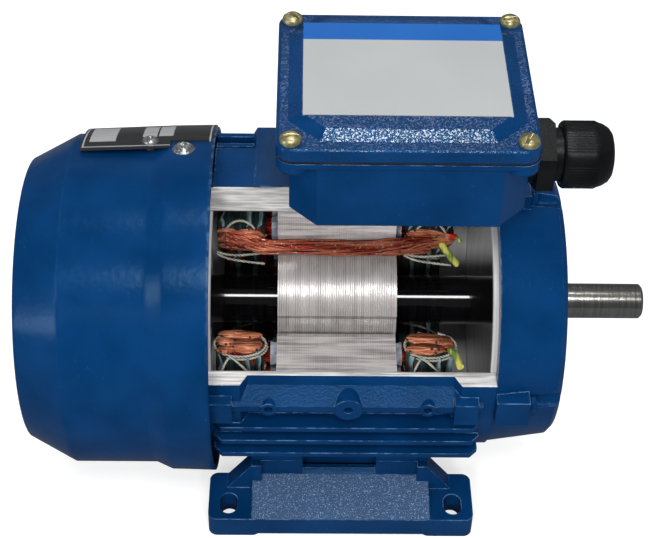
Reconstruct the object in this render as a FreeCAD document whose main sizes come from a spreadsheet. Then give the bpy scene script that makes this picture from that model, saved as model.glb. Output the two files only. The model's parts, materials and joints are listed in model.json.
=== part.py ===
"""Cutaway three-phase foot-mounted motor, size 71, for classroom demonstration.

Frame: millimetres, +Z up, +X towards the shaft extension.  The origin is the middle of the
two drive-end foot holes, on the plane that the feet stand on.
"""
import FreeCAD, Part
import math
import os
import re
import Sketcher
from types import SimpleNamespace

doc = FreeCAD.newDocument("demonstration_motor")

# ---------------------------------------------------------------- driving dimensions
DIMENSIONS = [
    # shaft line
    ("shaft_height", 71), ("shoulder_x", 45), ("extension_radius", 7), ("extension_length", 30),
    ("extension_chamfer", 1), ("journal_radius", 7.5), ("shaft_radius", 9.6),
    ("fan_seat_radius", 6), ("fan_seat_tail", 3.5), ("circlip_groove_depth", 0.5),
    # bearings, one at each end
    ("bearing_width", 11), ("bearing_radius", 17.5), ("ball_circle_radius", 12.5),
    ("ball_radius", 2.95), ("groove_radius", 3.1), ("outer_land_radius", 14.3),
    ("inner_land_radius", 10.7), ("cage_inner_radius", 11.6), ("cage_outer_radius", 13.4),
    ("cage_half_width", 3.9), ("cage_pocket_radius", 3.05), ("ball_count", 8),
    ("bearing_shield_thickness", 0.4), ("bearing_shield_radius", 11.1),
    ("drive_bearing_x", 24), ("rear_bearing_x", -111), ("wave_spring_height", 1.5),
    # housing
    ("frame_front_x", 11.6), ("frame_length", 108.6), ("bore_radius", 50),
    ("frame_wall", 2), ("collar_radius", 57), ("collar_length", 13), ("collar_taper", 2.7),
    ("frame_face", 58.5), ("fin_thickness", 2.2), ("fin_start_x", -94.5), ("fin_end_x", 7),
    ("fin_chamfer", 3), ("first_fin_offset", 12), ("fin_pitch", 7.4), ("rib_thickness", 3),
    ("rib_root_rise", 6.5),
    ("boss_face", 59), ("small_boss_radius", 3.2), ("large_boss_radius", 5.4),
    ("boss_hole_radius", 1.6), ("boss_hole_depth", 4), ("boss_spacing", 29.8),
    ("frame_middle_x", -43.5), ("lug_length", 9), ("lug_height", 10.5), ("lug_face", 61.3),
    ("drive_lug_inset", 6.6), ("rear_lug_inset", 1),
    # sectioning planes of the cutaway
    ("window_y", -3.5), ("window_rise", 10.5),
    # deck and pad under the terminal box
    ("deck_height", 61.6), ("deck_width", 19.5), ("deck_fin_y", 24), ("deck_fin_pitch", 6),
    ("deck_fin_height", 59.5), ("pad_height", 62.2), ("pad_width", 31.5), ("pad_start_x", -80.3),
    ("pad_end_x", 8), ("pad_chamfer_run", 1.3), ("pad_chamfer_rise", 2.8),
    ("wire_hole_x", -12), ("wire_hole_y", 16), ("wire_hole_radius", 8),
    # bolt-on feet
    ("foot_hole_spacing_x", 90), ("foot_hole_y", 56), ("foot_hole_radius", 3.5),
    ("foot_slot_length", 10), ("foot_front_y", 64.1), ("foot_pad_depth", 23.6),
    ("foot_pad_length", 21), ("foot_pad_offset", 2.4), ("foot_pad_height", 10.35),
    ("foot_corner_radius", 3.5), ("foot_relief", 1.2), ("foot_wall", 4), ("rail_step", 1.5),
    ("rail_back_y", 45), ("rail_drop", 7), ("seat_drop", 47),
    ("seat_height", "=shaft_height - seat_drop"), ("seat_inner_y", 27),
    ("seat_width", 20.5), ("seat_middle_x", -45.7), ("seat_spacing", 50), ("seat_thickness", 9),
    ("gusset_length", 10), ("gusset_width", 7), ("web_front_y", 39), ("web_width", 4),
    ("web_drop", 3.5), ("web_height", 7.5), ("web_overlap", 1), ("foot_screw_y", 35),
    ("foot_screw_radius", 2.5), ("foot_screw_head_radius", 4.2), ("foot_screw_head", 4),
    ("foot_screw_grip", 9),
    # end shields and their bolts
    ("spigot_depth", 2), ("spigot_wall", 2.5), ("shield_radius", 56.2), ("shield_depth", 25.4),
    ("shield_front_radius", 53), ("shield_wall", 4), ("hub_radius", 23), ("hub_mouth", 2),
    ("hub_nose", 4), ("hub_nose_radius", 24), ("shield_edge", 2), ("bearing_shoulder", 1),
    ("shoulder_hole_radius", 12.5), ("seal_radius", 13.5), ("seal_clearance", 0.08),
    ("rear_hole_radius", 9), ("spring_inner_radius", 13),
    ("rear_shield_depth", 19.5), ("rear_shield_flange", 6), ("rear_shield_radius", 56.5),
    ("bolt_circle_radius", 54.5), ("bolt_radius", 2), ("bolt_head_radius", 3.5),
    ("bolt_head_height", 3), ("bolt_thread", 10), ("bolt_head_clearance", 0.4),
    ("shield_lug_width", 12), ("shield_lug_radius", 60.5), ("shield_lug_length", 12.5),
    ("rear_lug_length", 8),
    # stator
    ("stator_front_x", -25.4), ("stator_length", 45.2), ("stator_bore_radius", 30),
    ("slot_count", 24), ("slot_half_width", 2.2), ("slot_floor_radius", 38.5),
    ("slot_phase", 7.5), ("liner_thickness", 0.35), ("liner_overhang", 2.5),
    ("wedge_height", 0.6), ("wedge_inset", 0.15),
    # end windings
    ("rear_winding_x", -84.6), ("drive_winding_x", -12.2), ("winding_radius", 35.5),
    ("winding_half_length", 9.2), ("winding_half_height", 5.8), ("lacing_thickness", 0.7),
    ("lacing_width", 2.2), ("lacing_count", 12), ("lacing_clearance_angle", 4),
    ("exposed_coil_swell", 0.6),
    # leads
    ("lead_radius", 1.4), ("lead_spacing", 4.5), ("lead_rise", 16), ("lead_step", 3.4),
    ("lead_drop", 12), ("lead_end_gap", 0.3), ("sleeve_radius", 1.3), ("sleeve_length", 11),
    # rotor
    ("rotor_front_x", -24.9), ("rotor_length", 45.6), ("rotor_radius", 29.6),
    ("pole_count", 4), ("recess_floor_radius", 26.2), ("recess_floor_half_width", 8),
    ("recess_half_width", 12.2), ("recess_rest_angle", 78.2),
    # fan
    ("fan_rear_x", -143), ("fan_depth", 19), ("fan_hub_radius", 12), ("fan_radius", 55),
    ("fan_disc", 2), ("fan_blade_thickness", 2.2), ("blade_count", 8),
    ("fan_hub_taper", 1), ("blade_root_depth", 1.5), ("blade_corner_length", 5.7),
    ("blade_corner_height", 11), ("circlip_radius", 8), ("circlip_thickness", 1),
    ("circlip_gap", 4.8),
    # fan cowl
    ("cowl_step_radius", 68), ("cowl_flare", 0.4), ("cowl_step_depth", 2.8),
    ("cowl_taper_depth", 9.4), ("cowl_edge_depth", 1.8), ("cowl_dome_radius", 32.6),
    ("cowl_rim_radius", "=cowl_step_radius + cowl_flare"),
    ("cowl_barrel_radius", "=cowl_step_radius - cowl_step_depth"),
    ("cowl_taper_radius", "=cowl_barrel_radius - cowl_taper_depth"),
    ("cowl_edge_radius", "=cowl_taper_radius - cowl_edge_depth"),
    ("cowl_rim_x", -94.7), ("cowl_step_x", -111.4), ("cowl_barrel_x", -117.7),
    ("cowl_shoulder_x", -149.2), ("cowl_taper_x", -166.7), ("cowl_edge_x", -167),
    ("cowl_dome_x", -168.2), ("cowl_end_x", -168.4), ("cowl_wall", 1.6), ("cowl_fit", 0.05),
    ("grille_slot_half_width", 1.6), ("grille_inner_start", 9), ("grille_inner_end", 24),
    ("grille_outer_start", 28), ("grille_outer_end", 46), ("grille_inner_count", 12),
    ("grille_outer_count", 24), ("cowl_screw_x", -106.1), ("cowl_screw_angle", -10.3),
    ("cowl_screw_radius", 1.9), ("cowl_screw_head_radius", 4), ("cowl_screw_head", 2.2),
    ("cowl_screw_length", 9), ("cowl_lug_width", 11), ("cowl_lug_length", 10),
    # nameplate
    ("plate_front_x", -95.5), ("plate_notch_x", -112), ("plate_rear_x", -145.5),
    ("plate_lift", 1.2), ("plate_rear_radius", "=cowl_barrel_radius + plate_lift"),
    ("plate_thickness", 0.8), ("plate_start_angle", -10.8), ("plate_notch_angle", -15.2),
    ("plate_end_angle", -52), ("rivet_x", -119.1), ("rivet_angle", -14.8), ("rivet_radius", 1.6),
    ("rivet_head_radius", 3.2), ("rivet_tail", 4.8),
    # terminal box
    ("box_gasket", 1), ("box_neck_start_x", -58), ("box_neck_end_x", 6), ("box_neck_far_y", 29),
    ("box_neck_gap", 0.8), ("box_neck_height", 12.3),
    ("box_floor_z", "=shaft_height + pad_height + box_gasket + box_neck_height"),
    ("box_floor", 2), ("box_depth", 25.8), ("flange_bottom_z", "=box_floor_z + box_depth"),
    ("flange_thickness", 2.2), ("flange_top_z", "=flange_bottom_z + flange_thickness"),
    ("box_rear_x", -66), ("box_front_x", 17), ("box_half_width", 39.4), ("box_corner", 9.7),
    ("box_wall", 3), ("corner_boss_length", 2.4),
    # lid and label
    ("lid_rear_x", -70.5), ("lid_front_x", 19.4), ("lid_half_width", 40),
    ("lid_corner_radius", 6), ("lid_gasket", 1), ("lid_height", 4.9), ("lid_edge_radius", 1.2),
    ("lid_plate", 2.5), ("lid_border_x", 4), ("lid_border_y", 3.4), ("plateau_middle_y", 1.6),
    ("plateau_height", 2), ("plateau_slope", 4.8), ("plateau_corner", 11),
    ("lid_screw_front_x", 14.7), ("lid_screw_spacing_x", 80.1), ("lid_screw_y", 35),
    ("lid_screw_radius", 1.9), ("lid_screw_clearance", 0.1), ("lid_screw_head_radius", 3.8),
    ("lid_screw_head", 3), ("lid_screw_length", 10),
    ("label_rear_x", -61.4), ("label_front_x", 10.4), ("label_near_y", -23.2),
    ("label_far_y", 30.9), ("label_recess", 0.3), ("label_thickness", 0.5),
    ("box_screw_radius", 2), ("box_screw_head_radius", 3.6), ("box_screw_head", 2.4),
    ("box_screw_grip", 8), ("box_screw_rear_x", -50), ("box_screw_front_x", 1),
    ("box_screw_y", 13),
    # terminal board
    ("board_rear_x", -60), ("board_front_x", -26), ("board_half_width", 15),
    ("board_middle_y", -17), ("board_thickness", 6), ("stud_pitch", 10), ("stud_row_y", 7),
    ("stud_radius", 2), ("board_screw_inset", 3), ("board_screw_length", 7.5), ("lug_tail", 6.5),
    ("stud_height", 12), ("stud_nut_radius", 3.9), ("stud_nut_height", 3.2),
    ("link_thickness", 0.8), ("link_half_width", 2.9), ("board_screw_radius", 1.5),
    ("board_screw_head_radius", 2.8), ("board_screw_head", 2), ("earth_screw_x", -16),
    ("earth_screw_y", -24), ("earth_screw_radius", 2), ("earth_screw_head_radius", 4.2),
    ("earth_screw_head", 3), ("earth_screw_post", 6),
    # cable gland
    ("gland_y", -16.4), ("gland_rise", 14), ("gland_z", "=box_floor_z + gland_rise"),
    ("gland_thread_radius", 10), ("gland_lid_gap", 1),
    ("gland_flange_radius", 10.8), ("gland_hex_flats", 24), ("gland_hex_length", 6.1),
    ("gland_neck_radius", 9.5),
    ("gland_neck_length", 12.5), ("gland_cap_gap", 3.1), ("gland_cap_clearance", 0.08),
    ("gland_cap_radius", 12), ("gland_cap_length", 11.7), ("gland_dome_length", 6.6),
    ("gland_dome_radius", 8.6), ("gland_entry_radius", 6.5), ("gland_rib_count", 30),
    ("gland_rib_height", 0.4), ("gland_flute_half_width", 0.8), ("gland_seal_radius", 8.2),
    ("gland_seal_bore", 5), ("gland_seal_length", 8), ("locknut_radius", 11.8),
    ("locknut_thickness", 4), ("gland_tail", 1),
]

sheet = doc.addObject("Spreadsheet::Sheet", "Sizes")
for row, (alias, value) in enumerate(DIMENSIONS, start=1):
    sheet.set(f"A{row}", alias)
    sheet.set(f"B{row}", str(value))
    sheet.setAlias(f"B{row}", alias)
doc.recompute()
ALIASES = {alias for alias, value in DIMENSIONS}
mm = SimpleNamespace(**{alias: float(sheet.get(alias)) for alias in ALIASES})
ALONG_X = FreeCAD.Vector(1, 0, 0)
ORIGIN = FreeCAD.Vector(0, 0, 0)
nodes = {}


# ---------------------------------------------------------------- helpers
def formula(text):
    """Turn size names into references to the sheet's cells."""
    return re.sub(r"[a-z_][a-z_0-9]*", lambda m: "Sizes." + m[0] if m[0] in ALIASES else m[0], str(text))


def bind(item, **links):
    """Bind properties of an object to formulas; a double underscore stands for a dot."""
    for name, text in links.items():
        item.setExpression(name.replace("__", "."), formula(text))
    return item


def placed(item, x=0, y=0, z=0):
    return bind(item, Placement__Base__x=x, Placement__Base__y=y, Placement__Base__z=z)


def plane_of(body, role):
    return next(f for f in body.Origin.OriginFeatures if f.Role == role)


def outline(body, role, points, offset=0):
    """Closed sketch of straight lines whose corners are bound to formulas."""
    sketch = body.newObject("Sketcher::SketchObject", body.Name + "_outline")
    sketch.AttachmentSupport = [(plane_of(body, role), "")]
    sketch.MapMode = "FlatFace"
    bind(sketch, AttachmentOffset__Base__z=offset)
    corners = []
    for across, up in points:
        here = [float(sheet.evalExpression(formula(text))) for text in (across, up)]
        corners.append(FreeCAD.Vector(here[0], here[1], 0))
    count = len(corners)
    for index in range(count):
        sketch.addGeometry(Part.LineSegment(corners[index], corners[(index + 1) % count]))
    for index in range(count):
        sketch.addConstraint(Sketcher.Constraint("Coincident", index, 2, (index + 1) % count, 1))
    for index, (across, up) in enumerate(points):
        for kind, text, now in (("DistanceX", across, corners[index].x), ("DistanceY", up, corners[index].y)):
            number = sketch.addConstraint(Sketcher.Constraint(kind, index, 1, now))
            sketch.setExpression(f"Constraints[{number}]", formula(text))
    return sketch


def turned(name, points, angle=360, start_angle=0):
    """Body revolved about the shaft line from (x, radius) corners."""
    body = doc.addObject("PartDesign::Body", name)
    sketch = outline(body, "XZ_Plane", points)
    turn = body.newObject("PartDesign::Revolution", name + "_turn")
    turn.Profile = sketch
    turn.ReferenceAxis = (sketch, ["H_Axis"])
    bind(turn, Angle=angle)
    body.Tip = turn
    body.Placement = FreeCAD.Placement(ORIGIN, FreeCAD.Rotation(ALONG_X, 1))
    bind(body, Placement__Rotation__Angle=start_angle)
    return placed(body, 0, 0, "shaft_height")


def padded(name, role, points, start, length):
    """Body extruded from an outline on one of its own planes."""
    body = doc.addObject("PartDesign::Body", name)
    sketch = outline(body, role, points, start)
    pad = body.newObject("PartDesign::Pad", name + "_pad")
    pad.Profile = sketch
    bind(pad, Length=length)
    body.Tip = pad
    return body


def slab(name, x, y, z, length, width, height, corner_radius, edge_radius=None):
    """Flat slab with rounded upright corners and, if asked, a rounded top edge."""
    far_x, far_y = f"({x}) + ({length})", f"({y}) + ({width})"
    points = [(x, y), (far_x, y), (far_x, far_y), (x, far_y)]
    body = padded(name, "XY_Plane", points, z, height)
    doc.recompute()
    upright = [f"Edge{number}" for number, edge in enumerate(body.Shape.Edges, start=1)
               if abs(edge.tangentAt(edge.FirstParameter).z) > 0.9]
    flat = body.Tip
    corners = body.newObject("PartDesign::Fillet", name + "_corners")
    corners.Base = (flat, upright)
    bind(corners, Radius=corner_radius)
    body.Tip = corners
    if edge_radius is None:
        return body
    doc.recompute()
    top = body.Shape.BoundBox.ZMax
    crest = [f"Edge{number}" for number, edge in enumerate(body.Shape.Edges, start=1)
             if abs(edge.BoundBox.ZMin - top) < 0.001]
    rounding = body.newObject("PartDesign::Fillet", name + "_edge")
    rounding.Base = (corners, crest)
    bind(rounding, Radius=edge_radius)
    body.Tip = rounding
    return body


def spread(body, feature, count):
    """Repeat a body's feature round the shaft line."""
    pattern = body.newObject("PartDesign::PolarPattern", feature.Name + "_round")
    pattern.Originals = [feature]
    pattern.Axis = (plane_of(body, "X_Axis"), [""])
    pattern.Angle = 360
    bind(pattern, Occurrences=count)
    body.Tip = pattern
    return pattern


def pocketed(body, name, points, start, depth, count):
    """Cut an outline on the cross-section plane into a body and repeat it round the shaft."""
    doc.recompute()
    before = body.Shape.Volume
    sketch = outline(body, "YZ_Plane", points, start)
    pocket = body.newObject("PartDesign::Pocket", name)
    pocket.Profile = sketch
    pocket.Reversed = True
    bind(pocket, Length=depth)
    spread(body, pocket, count)
    doc.recompute()
    if not body.Shape.Volume < before:
        raise RuntimeError(name + " cuts nothing")


def box(name, x, y, z, length, width, height):
    item = bind(doc.addObject("Part::Box", name), Length=length, Width=width, Height=height)
    return placed(item, x, y, z)


def rod(name, axis, x, y, z, radius, length, far_radius=None):
    """Cylinder, or cone, that starts at (x, y, z) and runs along +X, +Y or +Z."""
    kind = "Part::Cylinder" if far_radius is None else "Part::Cone"
    item = doc.addObject(kind, name)
    if far_radius is None:
        bind(item, Radius=radius, Height=length)
    else:
        bind(item, Radius1=radius, Radius2=far_radius, Height=length)
    turn = {"X": FreeCAD.Rotation(FreeCAD.Vector(0, 1, 0), 90),
            "Y": FreeCAD.Rotation(ALONG_X, -90), "Z": FreeCAD.Rotation()}[axis]
    item.Placement = FreeCAD.Placement(ORIGIN, turn)
    return placed(item, x, y, z)


def hexagon(name, axis, x, y, z, corner_radius, height):
    """Hexagonal prism that starts at (x, y, z) and runs along +X or +Z."""
    item = bind(doc.addObject("Part::Prism", name), Circumradius=corner_radius, Height=height)
    item.Polygon = 6
    turn = FreeCAD.Rotation(FreeCAD.Vector(0, 1, 0), 90) if axis == "X" else FreeCAD.Rotation()
    item.Placement = FreeCAD.Placement(ORIGIN, turn)
    return placed(item, x, y, z)


# Shares of a pan head: the height of its straight side, and the radius of its flat top. A dome's
# sphere is larger than its head by the last one.
LOW_HEAD = 0.55
CROWN = 0.62
DOME = 1.25


def screw(name, x, y, z, radius, length, head_radius, head_height):
    """Pan-head screw that points down, with the underside of its head at (x, y, z)."""
    low_head = f"{head_height}*{LOW_HEAD}"
    shank = rod(name + "_shank", "Z", x, y, f"{z} - ({length})", radius, length)
    head = rod(name + "_head", "Z", x, y, z, head_radius, low_head)
    crown = rod(name + "_crown", "Z", x, y, f"{z} + {low_head}", head_radius,
                f"{head_height} - {low_head}", f"{head_radius}*{CROWN}")
    return fused(name, [shank, head, crown])


def fused(name, items):
    item = doc.addObject("Part::MultiFuse", name)
    item.Shapes = items
    item.Refine = True
    return item


def less(name, base, tool):
    item = doc.addObject("Part::Cut", name)
    item.Base = base
    item.Tool = tool
    return item


def grouped(name, items):
    item = doc.addObject("Part::Compound", name)
    item.Links = items
    return item


def shaped(name, solids):
    """Group of solids made with Part's own functions, in place."""
    item = doc.addObject("Part::Feature", name)
    item.Shape = Part.makeCompound(solids)
    return item


def node(item, label):
    item.Label = label
    nodes[label] = item
    return item


def on_shaft(shape, angle):
    """Turn a shape made about the X axis by an angle and lift it to the shaft line."""
    turned_shape = shape.copy()
    turned_shape.rotate(ORIGIN, ALONG_X, angle)
    turned_shape.translate(FreeCAD.Vector(0, 0, mm.shaft_height))
    return turned_shape


def upright_block(half_width, low, high, start_x, end_x):
    """Block that stands on the X axis, from radius low to radius high."""
    corner = FreeCAD.Vector(start_x, -half_width, low)
    return Part.makeBox(end_x - start_x, 2 * half_width, high - low, corner)


def routed(points, radius):
    """Tube of straight runs joined by tangent arcs."""
    corners = [FreeCAD.Vector(*point) for point in points]
    start = corners[0]
    edges = []
    for before, corner, after in zip(corners, corners[1:], corners[2:]):
        back = (before - corner).normalize()
        ahead = (after - corner).normalize()
        turn = math.pi - back.getAngle(ahead)
        setback = 0.45 * min((before - corner).Length, (after - corner).Length)
        arc_radius = setback / math.tan(turn / 2)
        arc_start = corner + back * setback
        arc_end = corner + ahead * setback
        inward = (back + ahead).normalize()
        middle = corner + inward * (math.hypot(arc_radius, setback) - arc_radius)
        edges.append(Part.LineSegment(start, arc_start).toShape())
        edges.append(Part.Arc(arc_start, middle, arc_end).toShape())
        start = arc_end
    edges.append(Part.LineSegment(start, corners[-1]).toShape())
    path = Part.Wire(edges)
    ring = Part.Wire([Part.makeCircle(radius, corners[0], corners[1] - corners[0])])
    tube = path.makePipeShell([ring], True, True)
    expected = math.pi * radius ** 2 * path.Length
    print(f"tube length {path.Length:.1f}, volume over expected {tube.Volume / expected:.4f}")
    return tube


# The quarter that the cutaway removes from the housing, the stator and its windings.
window = box("window", "frame_front_x - 2*frame_length", "-3*collar_radius", "shaft_height + window_rise",
             "2*frame_length", "3*collar_radius + window_y", "3*collar_radius")


def sectioned(name, item):
    return less(name, item, window)


def in_window(angle, radius):
    """True where a point at an angle from straight up, towards the front, has been cut away."""
    front = -radius * math.sin(math.radians(angle))
    rise = radius * math.cos(math.radians(angle))
    return front < mm.window_y and rise > mm.window_rise


# ---------------------------------------------------------------- housing
FRAME_REAR = "frame_front_x - frame_length"
WALL_RADIUS = "bore_radius + frame_wall"
PAD_TOP = "shaft_height + pad_height"
# Where fins, keel, deck and pad start, well inside the wall; the bore is cut after them.
FIN_ROOT, KEEL_ROOT, DECK_ROOT, PAD_ROOT = (f"bore_radius*{share}" for share in (0.7, 0.9, 0.75, 0.8))
BOLT_PLACES = [("-bolt_circle_radius", "shaft_height"), ("bolt_circle_radius", "shaft_height"),
               ("0", "shaft_height + bolt_circle_radius"), ("0", "shaft_height - bolt_circle_radius")]
BOX_SCREW_PLACES = [("box_screw_rear_x", "box_screw_y"), ("box_screw_front_x", "box_screw_y")]


def side_fin(name, side, height):
    """Longitudinal fin on one flank of the housing, with chamfered ends."""
    root, tip = f"{side}*{FIN_ROOT}", f"{side}*frame_face"
    drawn_in = f"{side}*(frame_face - fin_chamfer)"
    points = [("fin_start_x", root), ("fin_start_x", drawn_in), ("fin_start_x + fin_chamfer", tip),
              ("fin_end_x - fin_chamfer", tip), ("fin_end_x", drawn_in), ("fin_end_x", root)]
    return padded(name, "XY_Plane", points, f"{height} - fin_thickness/2", "fin_thickness")


def frame_features():
    """Everything of the casting that stands on the tube."""
    items = [rod("frame_tube", "X", FRAME_REAR, 0, "shaft_height", WALL_RADIUS, "frame_length")]
    items.append(rod("rear_collar", "X", FRAME_REAR, 0, "shaft_height", "collar_radius", "collar_length"))
    items.append(rod("rear_taper", "X", FRAME_REAR + " + collar_length", 0, "shaft_height",
                     "collar_radius", "collar_taper", WALL_RADIUS))
    items.append(rod("drive_collar", "X", "frame_front_x - collar_length", 0, "shaft_height",
                     "collar_radius", "collar_length"))
    items.append(rod("drive_taper", "X", "frame_front_x - collar_length - collar_taper", 0, "shaft_height",
                     WALL_RADIUS, "collar_taper", "collar_radius"))
    for side, flank in ((-1, "near"), (1, "far")):
        tip, root = f"{side}*frame_face", f"{side}*(bore_radius + frame_wall/4)"
        wedge = [(tip, "shaft_height - rib_thickness/2"), (tip, "shaft_height + rib_thickness/2"),
                 (root, "shaft_height + rib_root_rise"), (root, "shaft_height - rib_root_rise")]
        items.append(padded(flank + "_rib", "YZ_Plane", wedge, "fin_start_x", "fin_end_x - fin_start_x"))
        for step in range(3):
            drop = f"(first_fin_offset + {step}*fin_pitch)"
            items.append(side_fin(f"{flank}_low_fin_{step}", side, f"shaft_height - {drop}"))
            if side > 0:
                items.append(side_fin(f"{flank}_high_fin_{step}", side, f"shaft_height + {drop}"))
        for place, radius in ((-1, "small_boss_radius"), (0, "large_boss_radius"), (1, "small_boss_radius")):
            items.append(rod(f"{flank}_boss_{place + 1}", "Y", f"frame_middle_x + {place}*boss_spacing",
                             f"{side}*boss_face*{0.6 if side > 0 else 1}", "shaft_height", radius,
                             "boss_face*0.4"))
        for end, start_x in (("rear", FRAME_REAR + " + rear_lug_inset"),
                             ("drive", "frame_front_x - drive_lug_inset - lug_length")):
            items.append(box(f"{flank}_{end}_lug", start_x, f"{side}*lug_face - {max(side, 0)}*lug_face/4",
                             "shaft_height - lug_height/2", "lug_length", "lug_face/4", "lug_height"))
        for end, middle_x in (("rear", "seat_middle_x - seat_spacing/2"),
                              ("drive", "seat_middle_x + seat_spacing/2")):
            items.append(box(f"{flank}_{end}_foot_pad", f"{middle_x} - seat_width/2",
                             "-rail_back_y" if side < 0 else "seat_inner_y", "seat_height", "seat_width",
                             "rail_back_y - seat_inner_y", "shaft_height - bore_radius/2 - seat_height"))
    for step in range(-1, 2):
        items.append(box(f"keel_fin_{step + 1}", "fin_start_x",
                         f"{step}*first_fin_offset - fin_thickness/2", "shaft_height - frame_face",
                         "fin_end_x - fin_start_x", "fin_thickness", f"frame_face - {KEEL_ROOT}"))
    return items


def top_of_frame():
    """Deck, deck fins and the pad that carries the terminal box."""
    low = f"shaft_height + {DECK_ROOT}"
    items = [box("deck", "fin_start_x", "-deck_width", low, "fin_end_x - fin_start_x", "2*deck_width",
                 f"deck_height - {DECK_ROOT}")]
    for step in range(2):
        middle_y = f"deck_fin_y + {step}*deck_fin_pitch"
        items.append(box(f"deck_fin_{step}", "fin_start_x", f"{middle_y} - fin_thickness/2", low,
                         "fin_end_x - fin_start_x", "fin_thickness", f"deck_fin_height - {DECK_ROOT}"))
    foot = f"shaft_height + {PAD_ROOT}"
    points = [("pad_start_x", foot), ("pad_start_x", f"{PAD_TOP} - pad_chamfer_rise"),
              ("pad_start_x + pad_chamfer_run", PAD_TOP), ("pad_end_x", PAD_TOP), ("pad_end_x", foot)]
    items.append(padded("box_pad", "XZ_Plane", points, "-pad_width", "2*pad_width"))
    for end, start_x in (("rear", FRAME_REAR + " + rear_lug_inset"),
                         ("drive", "frame_front_x - drive_lug_inset - lug_length")):
        items.append(box(f"crown_{end}_lug", start_x, "-lug_height/2", "shaft_height + bore_radius",
                         "lug_length", "lug_height", "lug_face - bore_radius"))
    return items


def frame_hollows():
    """Bore, wire passage and tapped holes of the casting."""
    items = [rod("bore", "X", FRAME_REAR + " - 1", 0, "shaft_height", "bore_radius", "frame_length + 2"),
             rod("wire_passage", "Z", "wire_hole_x", "wire_hole_y", "shaft_height", "wire_hole_radius",
                 "2*pad_height")]
    for side, flank in ((-1, "near"), (1, "far")):
        for place in (-1, 0, 1):
            start = f"{side}*boss_face - {max(side, 0)}*boss_hole_depth"
            items.append(rod(f"{flank}_boss_hole_{place + 1}", "Y", f"frame_middle_x + {place}*boss_spacing",
                             start, "shaft_height", "boss_hole_radius", "boss_hole_depth"))
    for number, (y, z) in enumerate(BOLT_PLACES):
        for end, start_x in (("rear", FRAME_REAR), ("drive", "frame_front_x - bolt_thread")):
            items.append(rod(f"{end}_tapped_hole_{number}", "X", start_x, y, z, "bolt_radius", "bolt_thread"))
    for side in (-1, 1):
        for step in (-1, 1):
            items.append(rod(f"foot_tapping_{side + 1}_{step + 1}", "Z",
                             f"seat_middle_x + {step}*seat_spacing/2", f"{side}*foot_screw_y",
                             "seat_height", "foot_screw_radius", "foot_screw_grip"))
    for number, (x, y) in enumerate(BOX_SCREW_PLACES):
        items.append(rod(f"pad_tapping_{number}", "Z", x, y, f"{PAD_TOP} - box_screw_grip",
                         "box_screw_radius", "box_screw_grip"))
    return items


casting = fused("frame_casting", frame_features() + top_of_frame())
hollowed = less("frame_hollowed", casting, fused("frame_hollows", frame_hollows()))
node(sectioned("frame_sectioned", hollowed), "motor_frame")


# ---------------------------------------------------------------- bolt-on feet
def foot_parts():
    """One foot, on the side of negative Y: rail, two pads, seats and gussets."""
    rear_pad_x = "-foot_hole_spacing_x + foot_pad_offset - foot_pad_length/2"
    drive_pad_x = "-foot_pad_offset - foot_pad_length/2"
    items = []
    for end, start_x in (("rear", rear_pad_x), ("drive", drive_pad_x)):
        items.append(slab(f"{end}_foot_pad", start_x, "-foot_front_y", 0, "foot_pad_length",
                          "foot_pad_depth", "foot_pad_height", "foot_corner_radius"))
    slope, crest = "foot_pad_height - foot_wall", "seat_height - rail_drop"
    section = [("-foot_front_y", "foot_relief"), ("-foot_front_y", "foot_pad_height"),
               ("-rail_back_y", f"{crest} - rail_step"), ("-rail_back_y + foot_wall/2", crest),
               ("-rail_back_y + foot_wall", crest), ("-rail_back_y + foot_wall", "foot_relief"),
               ("-rail_back_y", "foot_relief"), ("-rail_back_y", f"{crest} - rail_step - foot_wall"),
               ("-foot_front_y + foot_wall", slope), ("-foot_front_y + foot_wall", "foot_relief")]
    rail_start = f"{rear_pad_x} + foot_pad_length - foot_corner_radius"
    rail_length = "foot_hole_spacing_x - 2*foot_pad_offset - foot_pad_length + 2*foot_corner_radius"
    items.append(padded("foot_rail", "YZ_Plane", section, rail_start, rail_length))
    for side, end in ((-1, "rear"), (1, "drive")):
        middle = f"seat_middle_x + {side}*seat_spacing/2"
        items.append(box(f"{end}_seat", f"{middle} - seat_width/2", "-rail_back_y",
                         "seat_height - seat_thickness", "seat_width", "rail_back_y - seat_inner_y",
                         "seat_thickness"))
        edge = f"({middle} + {side}*seat_width/2)"
        tip = f"({edge} + {side}*gusset_length)"
        back = f"{edge} - {side}*foot_wall"
        gusset = [(back, "foot_pad_height/2"), (back, "seat_height"), (edge, "seat_height"),
                  (tip, "foot_pad_height"), (tip, "foot_pad_height/2")]
        items.append(padded(f"{end}_gusset", "XZ_Plane", gusset, "rail_back_y - foot_wall", "gusset_width"))
    half_gap = "(seat_spacing/2 - seat_width/2 + web_overlap)"
    items.append(box("seat_web", f"seat_middle_x - {half_gap}", "-web_front_y",
                     "seat_height - web_drop - web_height", f"2*{half_gap}", "web_width", "web_height"))
    return items


def foot_holes():
    """Slots for the foundation bolts and holes for the screws into the housing."""
    items = []
    reach = "(foot_slot_length/2 - foot_hole_radius)"
    for end, middle_x in (("rear", "-foot_hole_spacing_x"), ("drive", "0")):
        items.append(box(f"{end}_slot_middle", f"{middle_x} - foot_hole_radius", f"-foot_hole_y - {reach}",
                         "-1", "2*foot_hole_radius", f"2*{reach}", "seat_height"))
        for side in (-1, 1):
            items.append(rod(f"{end}_slot_end_{side + 1}", "Z", middle_x, f"-foot_hole_y + {side}*{reach}",
                             "-1", "foot_hole_radius", "seat_height"))
    for side in (-1, 1):
        items.append(rod(f"seat_hole_{side + 1}", "Z", f"seat_middle_x + {side}*seat_spacing/2",
                         "-foot_screw_y", "foot_relief", "foot_screw_radius", "seat_height"))
    return items


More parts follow.
